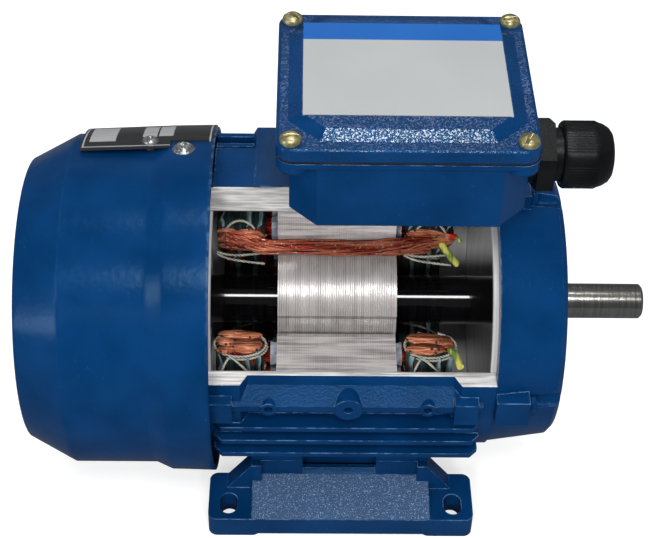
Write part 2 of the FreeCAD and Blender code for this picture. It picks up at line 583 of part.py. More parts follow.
left_foot = less("left_foot_cut", fused("foot_solid", foot_parts()), fused("foot_hollows", foot_holes()))
node(left_foot, "left_foot")
right_foot = doc.addObject("Part::Mirroring", "right_foot_mirror")
right_foot.Source = left_foot
right_foot.Normal = FreeCAD.Vector(0, 1, 0)
node(right_foot, "right_foot")

SEAT_UNDERSIDE = "seat_height - seat_thickness"
foot_screws = []
for side in (-1, 1):
    for step in (-1, 1):
        x, y = f"seat_middle_x + {step}*seat_spacing/2", f"{side}*foot_screw_y"
        name = f"foot_screw_{side + 1}_{step + 1}"
        head = rod(name + "_head", "Z", x, y, f"{SEAT_UNDERSIDE} - foot_screw_head",
                   "foot_screw_head_radius", "foot_screw_head")
        shank = rod(name + "_shank", "Z", x, y, SEAT_UNDERSIDE, "foot_screw_radius",
                    "seat_thickness + foot_screw_grip")
        foot_screws.append(fused(name, [head, shank]))
node(grouped("foot_screw_set", foot_screws), "foot_screws")


# ---------------------------------------------------------------- end shields
def shield_lugs(end, face_x, length):
    """Lugs for the bolts, on the axes of the bolt circle."""
    items = []
    for number, (y, z) in enumerate(BOLT_PLACES):
        if number < 2:
            low_y = "-shield_lug_radius" if number == 0 else "bore_radius + 1"
            items.append(box(f"{end}_lug_{number}", face_x, low_y, "shaft_height - shield_lug_width/2",
                             length, "shield_lug_radius - bore_radius - 1", "shield_lug_width"))
        else:
            low_z = "shaft_height + bore_radius + 1" if number == 2 else "shaft_height - shield_lug_radius"
            items.append(box(f"{end}_lug_{number}", face_x, "-shield_lug_width/2", low_z, length,
                             "shield_lug_width", "shield_lug_radius - bore_radius - 1"))
    return items


def bolt_holes(end, start_x, length, head_x, head_room):
    """Through holes and head recesses of one end shield."""
    items = []
    for number, (y, z) in enumerate(BOLT_PLACES):
        items.append(rod(f"{end}_bolt_hole_{number}", "X", start_x, y, z, "bolt_radius", length))
        items.append(rod(f"{end}_head_recess_{number}", "X", head_x, y, z,
                         "bolt_head_radius + bolt_head_clearance", head_room))
    return items


def bolts(end, shank_x, head_x):
    """Four cap screws: shank from shank_x, head from head_x."""
    items = []
    length = "bolt_thread + " + ("shield_lug_length" if end == "drive" else "rear_lug_length")
    for number, (y, z) in enumerate(BOLT_PLACES):
        shank = rod(f"{end}_bolt_shank_{number}", "X", shank_x, y, z, "bolt_radius", length)
        head = rod(f"{end}_bolt_head_{number}", "X", head_x, y, z, "bolt_head_radius", "bolt_head_height")
        items.append(fused(f"{end}_bolt_{number}", [shank, head]))
    return grouped(f"{end}_bolt_set", items)


SHIELD_FRONT = "frame_front_x + shield_depth"
BEARING_SHOULDER = "drive_bearing_x + bearing_width"
SEAL_FLOOR = f"{BEARING_SHOULDER} + bearing_shoulder"
drive_profile = [
    ("frame_front_x - spigot_depth", "bore_radius - spigot_wall"),
    ("frame_front_x - spigot_depth", "bore_radius"), ("frame_front_x", "bore_radius"),
    ("frame_front_x", "shield_radius"), (f"{SHIELD_FRONT} - shield_edge", "shield_front_radius"),
    (SHIELD_FRONT, "shield_front_radius - shield_edge"), (SHIELD_FRONT, "hub_nose_radius + hub_nose"),
    (f"{SHIELD_FRONT} + hub_nose", "hub_nose_radius"), (f"{SHIELD_FRONT} + hub_nose", "seal_radius"),
    (SEAL_FLOOR, "seal_radius"), (SEAL_FLOOR, "shoulder_hole_radius"),
    (BEARING_SHOULDER, "shoulder_hole_radius"), (BEARING_SHOULDER, "bearing_radius"),
    ("drive_bearing_x - hub_mouth", "bearing_radius"), ("drive_bearing_x - hub_mouth", "hub_radius"),
    (f"{SHIELD_FRONT} - shield_wall", "hub_radius + shield_wall"),
    (f"{SHIELD_FRONT} - shield_wall", "shield_front_radius - 2*shield_wall"),
    (f"{SHIELD_FRONT} - 2*shield_wall", "shield_front_radius - shield_wall"),
]
LUG_FACE = "frame_front_x + shield_lug_length"
drive_solid = fused("drive_shield_solid", [turned("drive_shield_turned", drive_profile)]
                    + shield_lugs("drive", "frame_front_x", "shield_lug_length"))
drive_holes = fused("drive_shield_holes", bolt_holes("drive", "frame_front_x", "shield_lug_length",
                                                     LUG_FACE, "shield_depth"))
node(less("drive_shield_cut", drive_solid, drive_holes), "drive_endshield")
node(bolts("drive", "frame_front_x - bolt_thread", LUG_FACE), "drive_endshield_bolts")

SHIELD_BACK = f"({FRAME_REAR} - rear_shield_depth)"
SPRING_FLOOR = "rear_bearing_x - wave_spring_height"
REAR_HUB_MOUTH = "rear_bearing_x + bearing_width + hub_mouth"
rear_profile = [
    (f"{FRAME_REAR} + spigot_depth", "bore_radius - spigot_wall"),
    (f"{FRAME_REAR} - rear_shield_flange/2", "bore_radius - spigot_wall"),
    (f"{SHIELD_BACK} + 2*shield_wall", "hub_radius + shield_wall/2"),
    (REAR_HUB_MOUTH, "hub_radius"), (REAR_HUB_MOUTH, "bearing_radius"),
    (SPRING_FLOOR, "bearing_radius"), (SPRING_FLOOR, "rear_hole_radius"),
    (SHIELD_BACK, "rear_hole_radius"), (SHIELD_BACK, "hub_radius + shield_edge"),
    (f"{SHIELD_BACK} + shield_wall", "hub_radius + shield_wall"),
    (f"{FRAME_REAR} - rear_shield_flange - shield_edge", "rear_shield_radius - shield_edge"),
    (f"{FRAME_REAR} - rear_shield_flange", "rear_shield_radius"), (FRAME_REAR, "rear_shield_radius"),
    (FRAME_REAR, "bore_radius"), (f"{FRAME_REAR} + spigot_depth", "bore_radius"),
]
COWL_SCREW_ANGLES = [mm.cowl_screw_angle - 90 * step for step in range(3)]
COWL_SEAT_RADIUS = mm.cowl_step_radius - mm.cowl_wall - mm.cowl_fit


def cowl_lugs():
    """Lugs on the rear shield that the cowl is screwed to, rounded to the cowl's inside."""
    limit = Part.makeCylinder(COWL_SEAT_RADIUS, 4 * mm.cowl_lug_length,
                              FreeCAD.Vector(mm.cowl_screw_x - 2 * mm.cowl_lug_length, 0, 0), ALONG_X)
    start_x = mm.cowl_screw_x - mm.cowl_lug_length / 2
    block = upright_block(mm.cowl_lug_width / 2, mm.bore_radius, 2 * COWL_SEAT_RADIUS, start_x,
                          mm.frame_front_x - mm.frame_length)
    lug = block.common(limit)
    return [on_shaft(lug, angle) for angle in COWL_SCREW_ANGLES]


def radial_pins(radius, low, high, x, angles):
    """Pins that stand on the shaft line at the given angles."""
    pin = Part.makeCylinder(radius, high - low, FreeCAD.Vector(x, 0, low), FreeCAD.Vector(0, 0, 1))
    return [on_shaft(pin, angle) for angle in angles]


COWL_OUTSIDE = mm.cowl_rim_radius + (mm.cowl_step_radius - mm.cowl_rim_radius) * (
    (mm.cowl_rim_x - mm.cowl_screw_x) / (mm.cowl_rim_x - mm.cowl_step_x))
SCREW_FOOT = COWL_OUTSIDE - mm.cowl_screw_length
cowl_screw_holes = shaped("cowl_screw_holes", radial_pins(
    mm.cowl_screw_radius, SCREW_FOOT, 2 * COWL_OUTSIDE, mm.cowl_screw_x, COWL_SCREW_ANGLES))
REAR_LUG_FACE = f"{FRAME_REAR} - rear_lug_length"
rear_turned = turned("rear_shield_turned", rear_profile)
rear_solid = fused("rear_shield_solid", [rear_turned, shaped("cowl_lugs", cowl_lugs())]
                   + shield_lugs("rear", REAR_LUG_FACE, "rear_lug_length"))
rear_holes = fused("rear_shield_holes", bolt_holes(
    "rear", REAR_LUG_FACE, "rear_lug_length", f"{REAR_LUG_FACE} - shield_depth", "shield_depth"))
rear_drilled = less("rear_shield_drilled", rear_solid, rear_holes)
node(less("rear_shield_cut", rear_drilled, cowl_screw_holes), "rear_endshield")
node(bolts("rear", REAR_LUG_FACE, f"{REAR_LUG_FACE} - bolt_head_height"), "rear_endshield_bolts")


# ---------------------------------------------------------------- stator
STATOR_REAR = "(stator_front_x - stator_length)"
stator = turned("stator_ring", [(STATOR_REAR, "stator_bore_radius"), (STATOR_REAR, "bore_radius"),
                                ("stator_front_x", "bore_radius"), ("stator_front_x", "stator_bore_radius")],
                start_angle="slot_phase")
pocketed(stator, "stator_slot", [
    ("-slot_half_width", "stator_bore_radius - 1"), ("slot_half_width", "stator_bore_radius - 1"),
    ("slot_half_width", "slot_floor_radius"), ("-slot_half_width", "slot_floor_radius")],
    STATOR_REAR, "stator_length", "slot_count")
node(sectioned("stator_sectioned", stator), "stator_core")

SLOT_ANGLES = [mm.slot_phase + 360 / mm.slot_count * step for step in range(int(mm.slot_count))]
EXPOSED_ANGLE = mm.slot_phase
WOUND_ANGLES = [angle for angle in SLOT_ANGLES
                if angle != EXPOSED_ANGLE and not in_window(angle, mm.slot_floor_radius)]
REAR_END = mm.stator_front_x - mm.stator_length
COIL_REAR = mm.rear_winding_x + mm.winding_half_length
COIL_FRONT = mm.drive_winding_x - mm.winding_half_length
LINER_WIDTH = mm.slot_half_width - mm.liner_thickness
LINER_FLOOR = mm.slot_floor_radius - mm.liner_thickness
WEDGE_LOW = mm.stator_bore_radius + mm.wedge_inset
WEDGE_HIGH = WEDGE_LOW + mm.wedge_height


def slot_liner(angle):
    """Insulating channel, open towards the bore and standing out at both ends."""
    start_x, end_x = REAR_END - mm.liner_overhang, mm.stator_front_x + mm.liner_overhang
    outside = upright_block(mm.slot_half_width, WEDGE_LOW, mm.slot_floor_radius, start_x, end_x)
    inside = upright_block(LINER_WIDTH, 0, LINER_FLOOR, start_x - 1, end_x + 1)
    return on_shaft(outside.cut(inside), angle)


def slot_wedge(angle):
    """Strip that closes the mouth of a slot."""
    strip = upright_block(LINER_WIDTH, WEDGE_LOW, WEDGE_HIGH, REAR_END - 1, mm.stator_front_x + 1)
    return on_shaft(strip, angle)


def slot_coil(angle, swell=0):
    """Copper bundle that fills one slot between the two end windings."""
    bundle = upright_block(LINER_WIDTH, WEDGE_HIGH - swell, LINER_FLOOR, COIL_REAR, COIL_FRONT)
    return on_shaft(bundle, angle)


node(shaped("liner_set", [slot_liner(angle) for angle in WOUND_ANGLES + [EXPOSED_ANGLE]]), "slot_liners")
node(shaped("wedge_set", [slot_wedge(angle) for angle in WOUND_ANGLES]), "slot_wedges")
node(shaped("coil_set", [slot_coil(angle) for angle in WOUND_ANGLES]), "slot_coils")
node(shaped("exposed_bundle", [slot_coil(EXPOSED_ANGLE, mm.exposed_coil_swell)]), "exposed_coil")


# Corners of a winding's section, as shares of its half length and half height.
SECTION = [(-1, -0.45), (-0.6, -1), (0.6, -1), (1, -0.45), (1, 0.45), (0.6, 1), (-0.6, 1), (-1, 0.45)]


def ring_profile(middle_x):
    """Eight-sided section of an end winding."""
    return [(f"{middle_x} + {across}*winding_half_length", f"winding_radius + {up}*winding_half_height")
            for across, up in SECTION]


def lacing_ring(middle_x, angle):
    """One turn of lacing tape round the section of an end winding."""
    width_angle = math.degrees(mm.lacing_width / mm.winding_radius)
    rings = []
    for extra in (0, mm.lacing_thickness):
        long, high = mm.winding_half_length + extra, mm.winding_half_height + extra
        points = [FreeCAD.Vector(middle_x + across * long, 0, mm.winding_radius + up * high)
                  for across, up in SECTION]
        face = Part.Face(Part.makePolygon(points + points[:1]))
        rings.append(face.revolve(ORIGIN, ALONG_X, width_angle))
    return on_shaft(rings[1].cut(rings[0]), angle)


def lacing(name, middle_x):
    """Lacing turns evenly round the part of the winding that remains, clear of the slot coils."""
    step = 360 / mm.lacing_count
    angles = [step * number + mm.slot_phase for number in range(int(mm.lacing_count))]
    kept = [angle for angle in angles if not in_window(angle, mm.winding_radius + mm.winding_half_height)
            and not in_window(angle + mm.lacing_clearance_angle, mm.winding_radius)]
    bands = [lacing_ring(middle_x, angle) for angle in kept]
    coils = [slot_coil(angle) for angle in WOUND_ANGLES] + [slot_coil(EXPOSED_ANGLE, 1)]
    return shaped(name, [band.cut(coils) for band in bands])


for end, middle_x, label in (("rear", "rear_winding_x", "rear_end_winding"),
                             ("drive", "drive_winding_x", "drive_end_winding")):
    node(sectioned(end + "_winding_cut", turned(end + "_winding", ring_profile(middle_x))), label)
node(lacing("rear_lacing_set", mm.rear_winding_x), "rear_lacing")
node(lacing("drive_lacing_set", mm.drive_winding_x), "drive_lacing")


# ---------------------------------------------------------------- shaft and rotor
FAN_FRONT = "fan_rear_x + fan_depth"
SHAFT_TAIL = "fan_rear_x - circlip_thickness - fan_seat_tail"
GROOVE_RADIUS = "fan_seat_radius - circlip_groove_depth"
REAR_JOURNAL_END = "rear_bearing_x + bearing_width"
shaft_profile = [
    (SHAFT_TAIL, "0"), (SHAFT_TAIL, "fan_seat_radius - extension_chamfer"),
    (f"{SHAFT_TAIL} + extension_chamfer", "fan_seat_radius"),
    ("fan_rear_x - circlip_thickness", "fan_seat_radius"), ("fan_rear_x - circlip_thickness", GROOVE_RADIUS),
    ("fan_rear_x", GROOVE_RADIUS), ("fan_rear_x", "fan_seat_radius"),
    (FAN_FRONT, "fan_seat_radius"), (FAN_FRONT, "journal_radius"),
    (REAR_JOURNAL_END, "journal_radius"), (REAR_JOURNAL_END, "shaft_radius"),
    ("drive_bearing_x", "shaft_radius"), ("drive_bearing_x", "journal_radius"),
    ("shoulder_x", "journal_radius"), ("shoulder_x", "extension_radius"),
    ("shoulder_x + extension_length - extension_chamfer", "extension_radius"),
    ("shoulder_x + extension_length", "extension_radius - extension_chamfer"),
    ("shoulder_x + extension_length", "0"),
]
node(turned("shaft_turned", shaft_profile), "shaft")

ROTOR_REAR = "(rotor_front_x - rotor_length)"
rotor = turned("rotor_ring", [(ROTOR_REAR, "shaft_radius"), (ROTOR_REAR, "rotor_radius"),
                              ("rotor_front_x", "rotor_radius"), ("rotor_front_x", "shaft_radius")],
               start_angle="recess_rest_angle")
pocketed(rotor, "rotor_recess", [("-recess_floor_half_width", "recess_floor_radius"),
                                 ("recess_floor_half_width", "recess_floor_radius"),
                                 ("recess_half_width + 2", "rotor_radius + 1"),
                                 ("-recess_half_width - 2", "rotor_radius + 1")],
         ROTOR_REAR, "rotor_length", "pole_count")
node(rotor, "rotor_core")


# ---------------------------------------------------------------- ball bearings
def bearing(end, face_x, first_angle):
    """Rings, shields, balls and cage of one deep-groove bearing whose rear face is at face_x."""
    far_x = f"{face_x} + bearing_width"
    outer = turned(f"{end}_outer_blank", [(face_x, "outer_land_radius"), (face_x, "bearing_radius"),
                                          (far_x, "bearing_radius"), (far_x, "outer_land_radius")])
    inner = turned(f"{end}_inner_blank", [(face_x, "journal_radius"), (face_x, "inner_land_radius"),
                                          (far_x, "inner_land_radius"), (far_x, "journal_radius")])
    groove = doc.addObject("Part::Torus", f"{end}_groove")
    groove.Placement = FreeCAD.Placement(ORIGIN, FreeCAD.Rotation(FreeCAD.Vector(0, 1, 0), 90))
    bind(groove, Radius1="ball_circle_radius", Radius2="groove_radius")
    placed(groove, f"{face_x} + bearing_width/2", 0, "shaft_height")
    node(less(f"{end}_outer_cut", outer, groove), f"{end}_bearing_outer_ring")
    node(less(f"{end}_inner_cut", inner, groove), f"{end}_bearing_inner_ring")
    discs = []
    for face, start_x in (("near", face_x), ("far", f"{far_x} - bearing_shield_thickness")):
        end_x = f"{start_x} + bearing_shield_thickness"
        discs.append(turned(f"{end}_{face}_disc", [
            (start_x, "bearing_shield_radius"), (start_x, "outer_land_radius"),
            (end_x, "outer_land_radius"), (end_x, "bearing_shield_radius")]))
    node(grouped(f"{end}_shield_pair", discs), f"{end}_bearing_shields")
    middle_x = getattr(mm, face_x) + mm.bearing_width / 2
    centre = FreeCAD.Vector(middle_x, 0, mm.ball_circle_radius)
    angles = [first_angle + 360 / mm.ball_count * step for step in range(int(mm.ball_count))]
    balls = [on_shaft(Part.makeSphere(mm.ball_radius, centre), angle) for angle in angles]
    pockets = [on_shaft(Part.makeSphere(mm.cage_pocket_radius, centre), angle) for angle in angles]
    cage_start = FreeCAD.Vector(middle_x - mm.cage_half_width, 0, mm.shaft_height)
    cage = Part.makeCylinder(mm.cage_outer_radius, 2 * mm.cage_half_width, cage_start, ALONG_X)
    cage = cage.cut(Part.makeCylinder(mm.cage_inner_radius, 2 * mm.cage_half_width, cage_start, ALONG_X))
    node(shaped(f"{end}_ball_set", balls), f"{end}_bearing_balls")
    node(shaped(f"{end}_cage_ring", [cage.cut(pockets)]), f"{end}_bearing_cage")


bearing("drive", "drive_bearing_x", 0)
bearing("rear", "rear_bearing_x", 0)
node(turned("spring_ring", [(SPRING_FLOOR, "spring_inner_radius"), (SPRING_FLOOR, "bearing_radius"),
                            ("rear_bearing_x", "bearing_radius"), ("rear_bearing_x", "spring_inner_radius")]),
     "wave_spring")
SEAL_BORE = "journal_radius + seal_clearance"
node(turned("seal_ring", [(SEAL_FLOOR, SEAL_BORE), (SEAL_FLOOR, "seal_radius"),
                          (f"{SHIELD_FRONT} + hub_nose", "seal_radius"),
                          (f"{SHIELD_FRONT} + hub_nose", SEAL_BORE)]), "shaft_seal")


# ---------------------------------------------------------------- fan
DISC_START = f"{FAN_FRONT} - fan_disc"
fan_hub = turned("fan_hub", [
    ("fan_rear_x", "fan_seat_radius"), ("fan_rear_x", "fan_hub_radius - fan_hub_taper"),
    (DISC_START, "fan_hub_radius"), (DISC_START, "fan_radius"), (FAN_FRONT, "fan_radius"),
    (FAN_FRONT, "fan_seat_radius")])


def fan_blade(angle):
    """Straight radial blade with a sloping outer corner."""
    rear, disc = mm.fan_rear_x, mm.fan_rear_x + mm.fan_depth - mm.fan_disc
    root = mm.fan_hub_radius - mm.blade_root_depth
    corners = [(disc, root), (disc, mm.fan_radius), (rear + mm.blade_corner_length, mm.fan_radius),
               (rear, mm.fan_radius - mm.blade_corner_height), (rear, root)]
    points = [FreeCAD.Vector(x, -mm.fan_blade_thickness / 2, radius) for x, radius in corners]
    face = Part.Face(Part.makePolygon(points + points[:1]))
    return on_shaft(face.extrude(FreeCAD.Vector(0, mm.fan_blade_thickness, 0)), angle)


blades = shaped("fan_blades", [fan_blade(360 / mm.blade_count * step) for step in range(int(mm.blade_count))])
node(fused("fan_moulding", [fan_hub, blades]), "fan")
clip_ring = turned("clip_ring", [("fan_rear_x - circlip_thickness", GROOVE_RADIUS),
                                 ("fan_rear_x - circlip_thickness", "circlip_radius"),
                                 ("fan_rear_x", "circlip_radius"), ("fan_rear_x", GROOVE_RADIUS)])
clip_gap = box("clip_gap", "fan_rear_x - 2*circlip_thickness", "-circlip_gap/2", "shaft_height",
               "3*circlip_thickness", "circlip_gap", "circlip_radius")
node(less("clip_cut", clip_ring, clip_gap), "fan_circlip")


# ---------------------------------------------------------------- fan cowl and nameplate
INNER = " - cowl_wall"
cowl_profile = [
    ("cowl_rim_x", "cowl_rim_radius"), ("cowl_step_x", "cowl_step_radius"),
    ("cowl_barrel_x", "cowl_barrel_radius"), ("cowl_shoulder_x", "cowl_barrel_radius"),
    ("cowl_taper_x", "cowl_taper_radius"), ("cowl_edge_x", "cowl_edge_radius"),
    ("cowl_dome_x", "cowl_dome_radius"), ("cowl_end_x", "0"), ("cowl_end_x + cowl_wall", "0"),
    ("cowl_dome_x + cowl_wall", "cowl_dome_radius" + INNER),
    ("cowl_edge_x + cowl_wall", "cowl_edge_radius" + INNER),
    ("cowl_taper_x + cowl_wall", "cowl_taper_radius" + INNER),
    ("cowl_shoulder_x + cowl_wall/2", "cowl_barrel_radius" + INNER),
    ("cowl_barrel_x + cowl_wall/2", "cowl_barrel_radius" + INNER),
    ("cowl_step_x", "cowl_step_radius" + INNER), ("cowl_rim_x", "cowl_rim_radius" + INNER),
]
cowl = turned("cowl_shell", cowl_profile)
for ring in ("inner", "outer"):
    low, high = f"grille_{ring}_start", f"grille_{ring}_end"
    pocketed(cowl, f"grille_{ring}_slot",
             [("-grille_slot_half_width", low), ("grille_slot_half_width", low),
              ("grille_slot_half_width", high), ("-grille_slot_half_width", high)],
             "cowl_end_x - cowl_wall", "cowl_edge_x - cowl_end_x + 5*cowl_wall", f"grille_{ring}_count")
rivet_seat = mm.cowl_step_radius + mm.plate_thickness + (mm.rivet_x - mm.cowl_step_x) * (
    (mm.cowl_step_radius - mm.plate_rear_radius) / (mm.cowl_step_x - mm.plate_rear_x))
rivet_foot = rivet_seat - mm.rivet_tail
rivet_hole = shaped("rivet_hole", radial_pins(
    mm.rivet_radius, rivet_foot, rivet_seat, mm.rivet_x, [mm.rivet_angle]))
node(less("cowl_pierced", less("cowl_drilled", cowl, cowl_screw_holes), rivet_hole), "fan_cowl")


def cowl_screw(angle):
    """Pan-head screw set radially in the cowl."""
    up = FreeCAD.Vector(0, 0, 1)
    seat = FreeCAD.Vector(mm.cowl_screw_x, 0, COWL_OUTSIDE)
    foot = FreeCAD.Vector(mm.cowl_screw_x, 0, SCREW_FOOT)
    low_head = mm.cowl_screw_head * LOW_HEAD
    shank = Part.makeCylinder(mm.cowl_screw_radius, mm.cowl_screw_length, foot, up)
    head = Part.makeCylinder(mm.cowl_screw_head_radius, low_head, seat, up)
    crown = Part.makeCone(mm.cowl_screw_head_radius, mm.cowl_screw_head_radius * CROWN,
                          mm.cowl_screw_head - low_head, seat + up * low_head, up)
    return on_shaft(shank.fuse([head, crown]).removeSplitter(), angle)


cowl_screw_set = shaped("cowl_screw_set", [cowl_screw(angle) for angle in COWL_SCREW_ANGLES])
node(less("cowl_screws_seated", cowl_screw_set, nodes["fan_cowl"]), "cowl_screws")

PLATE = " + plate_thickness"
RIM_SLOPE = "(cowl_rim_radius - cowl_step_radius)/(cowl_rim_x - cowl_step_x)"
FRONT_RADIUS = f"cowl_step_radius + (plate_front_x - cowl_step_x)*{RIM_SLOPE}"


def plate_sector(name, points, start_angle):
    """Part of the plate from its far edge to one of its near edges."""
    return turned(name, points, f"{start_angle} - plate_end_angle", "plate_end_angle")


rear_leaf = plate_sector("plate_rear_leaf", [
    ("plate_rear_x", "plate_rear_radius"), ("plate_rear_x", "plate_rear_radius" + PLATE),
    ("cowl_step_x", "cowl_step_radius" + PLATE), ("cowl_step_x", "cowl_step_radius")],
    "plate_start_angle")
front_leaf = plate_sector("plate_front_leaf", [
    ("cowl_step_x", "cowl_step_radius"), ("cowl_step_x", "cowl_step_radius" + PLATE),
    ("plate_front_x", FRONT_RADIUS + PLATE), ("plate_front_x", FRONT_RADIUS)],
    "plate_notch_angle")
plate = less("plate_pierced", fused("plate_leaves", [rear_leaf, front_leaf]), rivet_hole)
node(plate, "nameplate")


def domed_rivet():
    """Rivet with a domed head, from its foot under the cowl."""
    up = FreeCAD.Vector(0, 0, 1)
    foot = FreeCAD.Vector(mm.rivet_x, 0, rivet_foot)
    shank = Part.makeCylinder(mm.rivet_radius, rivet_seat - rivet_foot, foot, up)
    dome_radius = mm.rivet_head_radius * DOME
    middle_z = rivet_seat - math.sqrt(dome_radius ** 2 - mm.rivet_head_radius ** 2)
    middle = FreeCAD.Vector(mm.rivet_x, 0, middle_z)
    collar = Part.makeCylinder(mm.rivet_head_radius, dome_radius,
                               FreeCAD.Vector(mm.rivet_x, 0, rivet_seat - mm.plate_thickness / 2), up)
    return on_shaft(shank.fuse(collar.common(Part.makeSphere(dome_radius, middle))), mm.rivet_angle)


node(less("rivet_seated", shaped("rivet_solid", [domed_rivet()]), plate), "nameplate_rivet")

# ---------------------------------------------------------------- terminal box and its lid
FLOOR_TOP = "box_floor_z + box_floor"
NECK_BOTTOM = f"{PAD_TOP} + box_gasket"
NECK_NEAR_Y = "window_y + box_neck_gap"
LID_BOTTOM = "flange_top_z + lid_gasket"
BORDER_TOP = f"{LID_BOTTOM} + lid_height"
LID_TOP = f"{BORDER_TOP} + plateau_height"
LID_SCREW_PLACES = [(x, f"{side}*lid_screw_y") for side in (-1, 1)
                    for x in ("lid_screw_front_x", "lid_screw_front_x - lid_screw_spacing_x")]
CORNER_PLACES = [(x, f"{side}*(lid_half_width - lid_corner_radius)") for side in (-1, 1)
                 for x in ("lid_front_x - lid_corner_radius", "lid_rear_x + lid_corner_radius")]
BOSS_FOOT = "flange_bottom_z - corner_boss_length"


def octagon(rear, front, near, far, cut):
    """Corners of a rectangle in plan whose own corners are cut off."""
    return [(f"{rear} + {cut}", near), (f"{front} - {cut}", near), (front, f"{near} + {cut}"),
            (front, f"{far} - {cut}"), (f"{front} - {cut}", far), (f"{rear} + {cut}", far),
            (rear, f"{far} - {cut}"), (rear, f"{near} + {cut}")]


def box_plan(inset):
    """Plan of the box, drawn in evenly by an inset."""
    half_width = f"(box_half_width - {inset})"
    return octagon(f"(box_rear_x + {inset})", f"(box_front_x - {inset})", f"-{half_width}", half_width,
                   f"(box_corner - (2 - sqrt(2))*{inset})")


def plateau_plan(inset):
    """Plan of the raised middle of the lid, drawn in evenly by an inset."""
    half_width = f"(lid_half_width - lid_border_y - {inset})"
    return octagon(f"(lid_rear_x + lid_border_x + {inset})", f"(lid_front_x - lid_border_x - {inset})",
                   f"(plateau_middle_y - {half_width})", f"(plateau_middle_y + {half_width})",
                   f"(plateau_corner - (2 - sqrt(2))*{inset})")


def lid_slab(name, z, height, edge_radius=None):
    """Slab with the plan of the lid."""
    return slab(name, "lid_rear_x", "-lid_half_width", z, "lid_front_x - lid_rear_x", "2*lid_half_width",
                height, "lid_corner_radius", edge_radius)


def neck_slab(name, z, height):
    """Block with the plan of the neck between the housing's pad and the box."""
    return box(name, "box_neck_start_x", NECK_NEAR_Y, z, "box_neck_end_x - box_neck_start_x",
               f"box_neck_far_y - ({NECK_NEAR_Y})", height)


def box_rods(name, places, radius, low, height):
    """One upright cylinder at each place."""
    return [rod(f"{name}_{number}", "Z", x, y, low, radius, height) for number, (x, y) in enumerate(places)]


box_solid = fused("box_solid", [
    padded("box_wall_block", "XY_Plane", box_plan("0"), "box_floor_z", "box_depth"),
    lid_slab("box_flange", "flange_bottom_z", "flange_thickness"),
    neck_slab("box_neck", NECK_BOTTOM, "box_neck_height")]
    + box_rods("corner_boss", CORNER_PLACES, "lid_corner_radius", BOSS_FOOT, "corner_boss_length"))
inside = padded("box_inside", "XY_Plane", box_plan("box_wall"), FLOOR_TOP, "flange_top_z - box_floor_z")
wire_hole = rod("box_wire_hole", "Z", "wire_hole_x", "wire_hole_y", PAD_TOP, "wire_hole_radius", "pad_height")
lid_screw_holes = fused("lid_screw_holes", box_rods(
    "lid_screw_hole", LID_SCREW_PLACES, "lid_screw_radius + lid_screw_clearance", BOSS_FOOT,
    f"{LID_TOP} - ({BOSS_FOOT})"))
box_screw_holes = fused("box_screw_holes", box_rods(
    "box_screw_hole", BOX_SCREW_PLACES, "box_screw_radius", PAD_TOP, f"{FLOOR_TOP} - ({PAD_TOP})"))
gland_hole = rod("gland_hole", "X", "box_front_x - box_wall", "gland_y", "gland_z", "gland_thread_radius",
                 "lid_front_x + gland_lid_gap - box_front_x + box_wall")
hollow_box = less("box_hollowed", box_solid, fused("box_hollows", [
    inside, wire_hole, lid_screw_holes, box_screw_holes, gland_hole]))
earth_post = rod("earth_post", "Z", "earth_screw_x", "earth_screw_y", "box_floor_z",
                 "earth_screw_head_radius", "box_floor + earth_screw_post")
earth_tapping = rod("earth_tapping", "Z", "earth_screw_x", "earth_screw_y", FLOOR_TOP, "earth_screw_radius",
                    "earth_screw_post")
BOARD_SCREW_PLACES = [("board_rear_x + board_screw_inset", "board_middle_y"),
                      ("board_front_x - board_screw_inset", "board_middle_y")]
BOARD_TOP = f"{FLOOR_TOP} + board_thickness"
board_screw_set = fused("board_screw_set", [
    screw(f"board_screw_{number}", x, y, BOARD_TOP, "board_screw_radius", "board_screw_length",
          "board_screw_head_radius", "board_screw_head") for number, (x, y) in enumerate(BOARD_SCREW_PLACES)])
node(less("box_cut", fused("box_with_post", [hollow_box, earth_post]),
          fused("box_tappings", [earth_tapping, board_screw_set])), "terminal_box")
node(less("box_gasket_cut", neck_slab("box_gasket_sheet", PAD_TOP, "box_gasket"),
          fused("box_gasket_holes", [wire_hole, box_screw_holes])), "box_gasket")
node(grouped("box_screw_set", [
    screw(f"box_screw_{number}", x, y, FLOOR_TOP, "box_screw_radius",
          f"{FLOOR_TOP} - ({PAD_TOP}) + box_screw_grip", "box_screw_head_radius", "box_screw_head")
    for number, (x, y) in enumerate(BOX_SCREW_PLACES)]), "box_screws")
node(screw("earth_screw_solid", "earth_screw_x", "earth_screw_y", f"{FLOOR_TOP} + earth_screw_post",
           "earth_screw_radius", "earth_screw_post", "earth_screw_head_radius", "earth_screw_head"),
     "earth_screw")

lid_opening = padded("lid_opening", "XY_Plane", box_plan("box_wall"), "flange_top_z",
                     "lid_gasket + lid_height - lid_plate")
node(less("lid_gasket_cut", lid_slab("lid_gasket_sheet", "flange_top_z", "lid_gasket"),
          fused("lid_gasket_holes", [lid_opening, lid_screw_holes])), "lid_gasket")


def label_sheet(name, thickness):
    """Sheet with the plan of the label, from the bottom of its recess."""
    return box(name, "label_rear_x", "label_near_y", f"{LID_TOP} - label_recess",
               "label_front_x - label_rear_x", "label_far_y - label_near_y", thickness)


def lid_plateau():
    """Raised middle of the lid, with sloping sides."""
    body = doc.addObject("PartDesign::Body", "lid_plateau")
    foot = outline(body, "XY_Plane", plateau_plan("0"), BORDER_TOP)
    crest = outline(body, "XY_Plane", plateau_plan("plateau_slope"), LID_TOP)
    rise = body.newObject("PartDesign::AdditiveLoft", "lid_plateau_rise")
    rise.Profile = foot
    rise.Sections = [crest]
    rise.Ruled = True
    body.Tip = rise
    return body


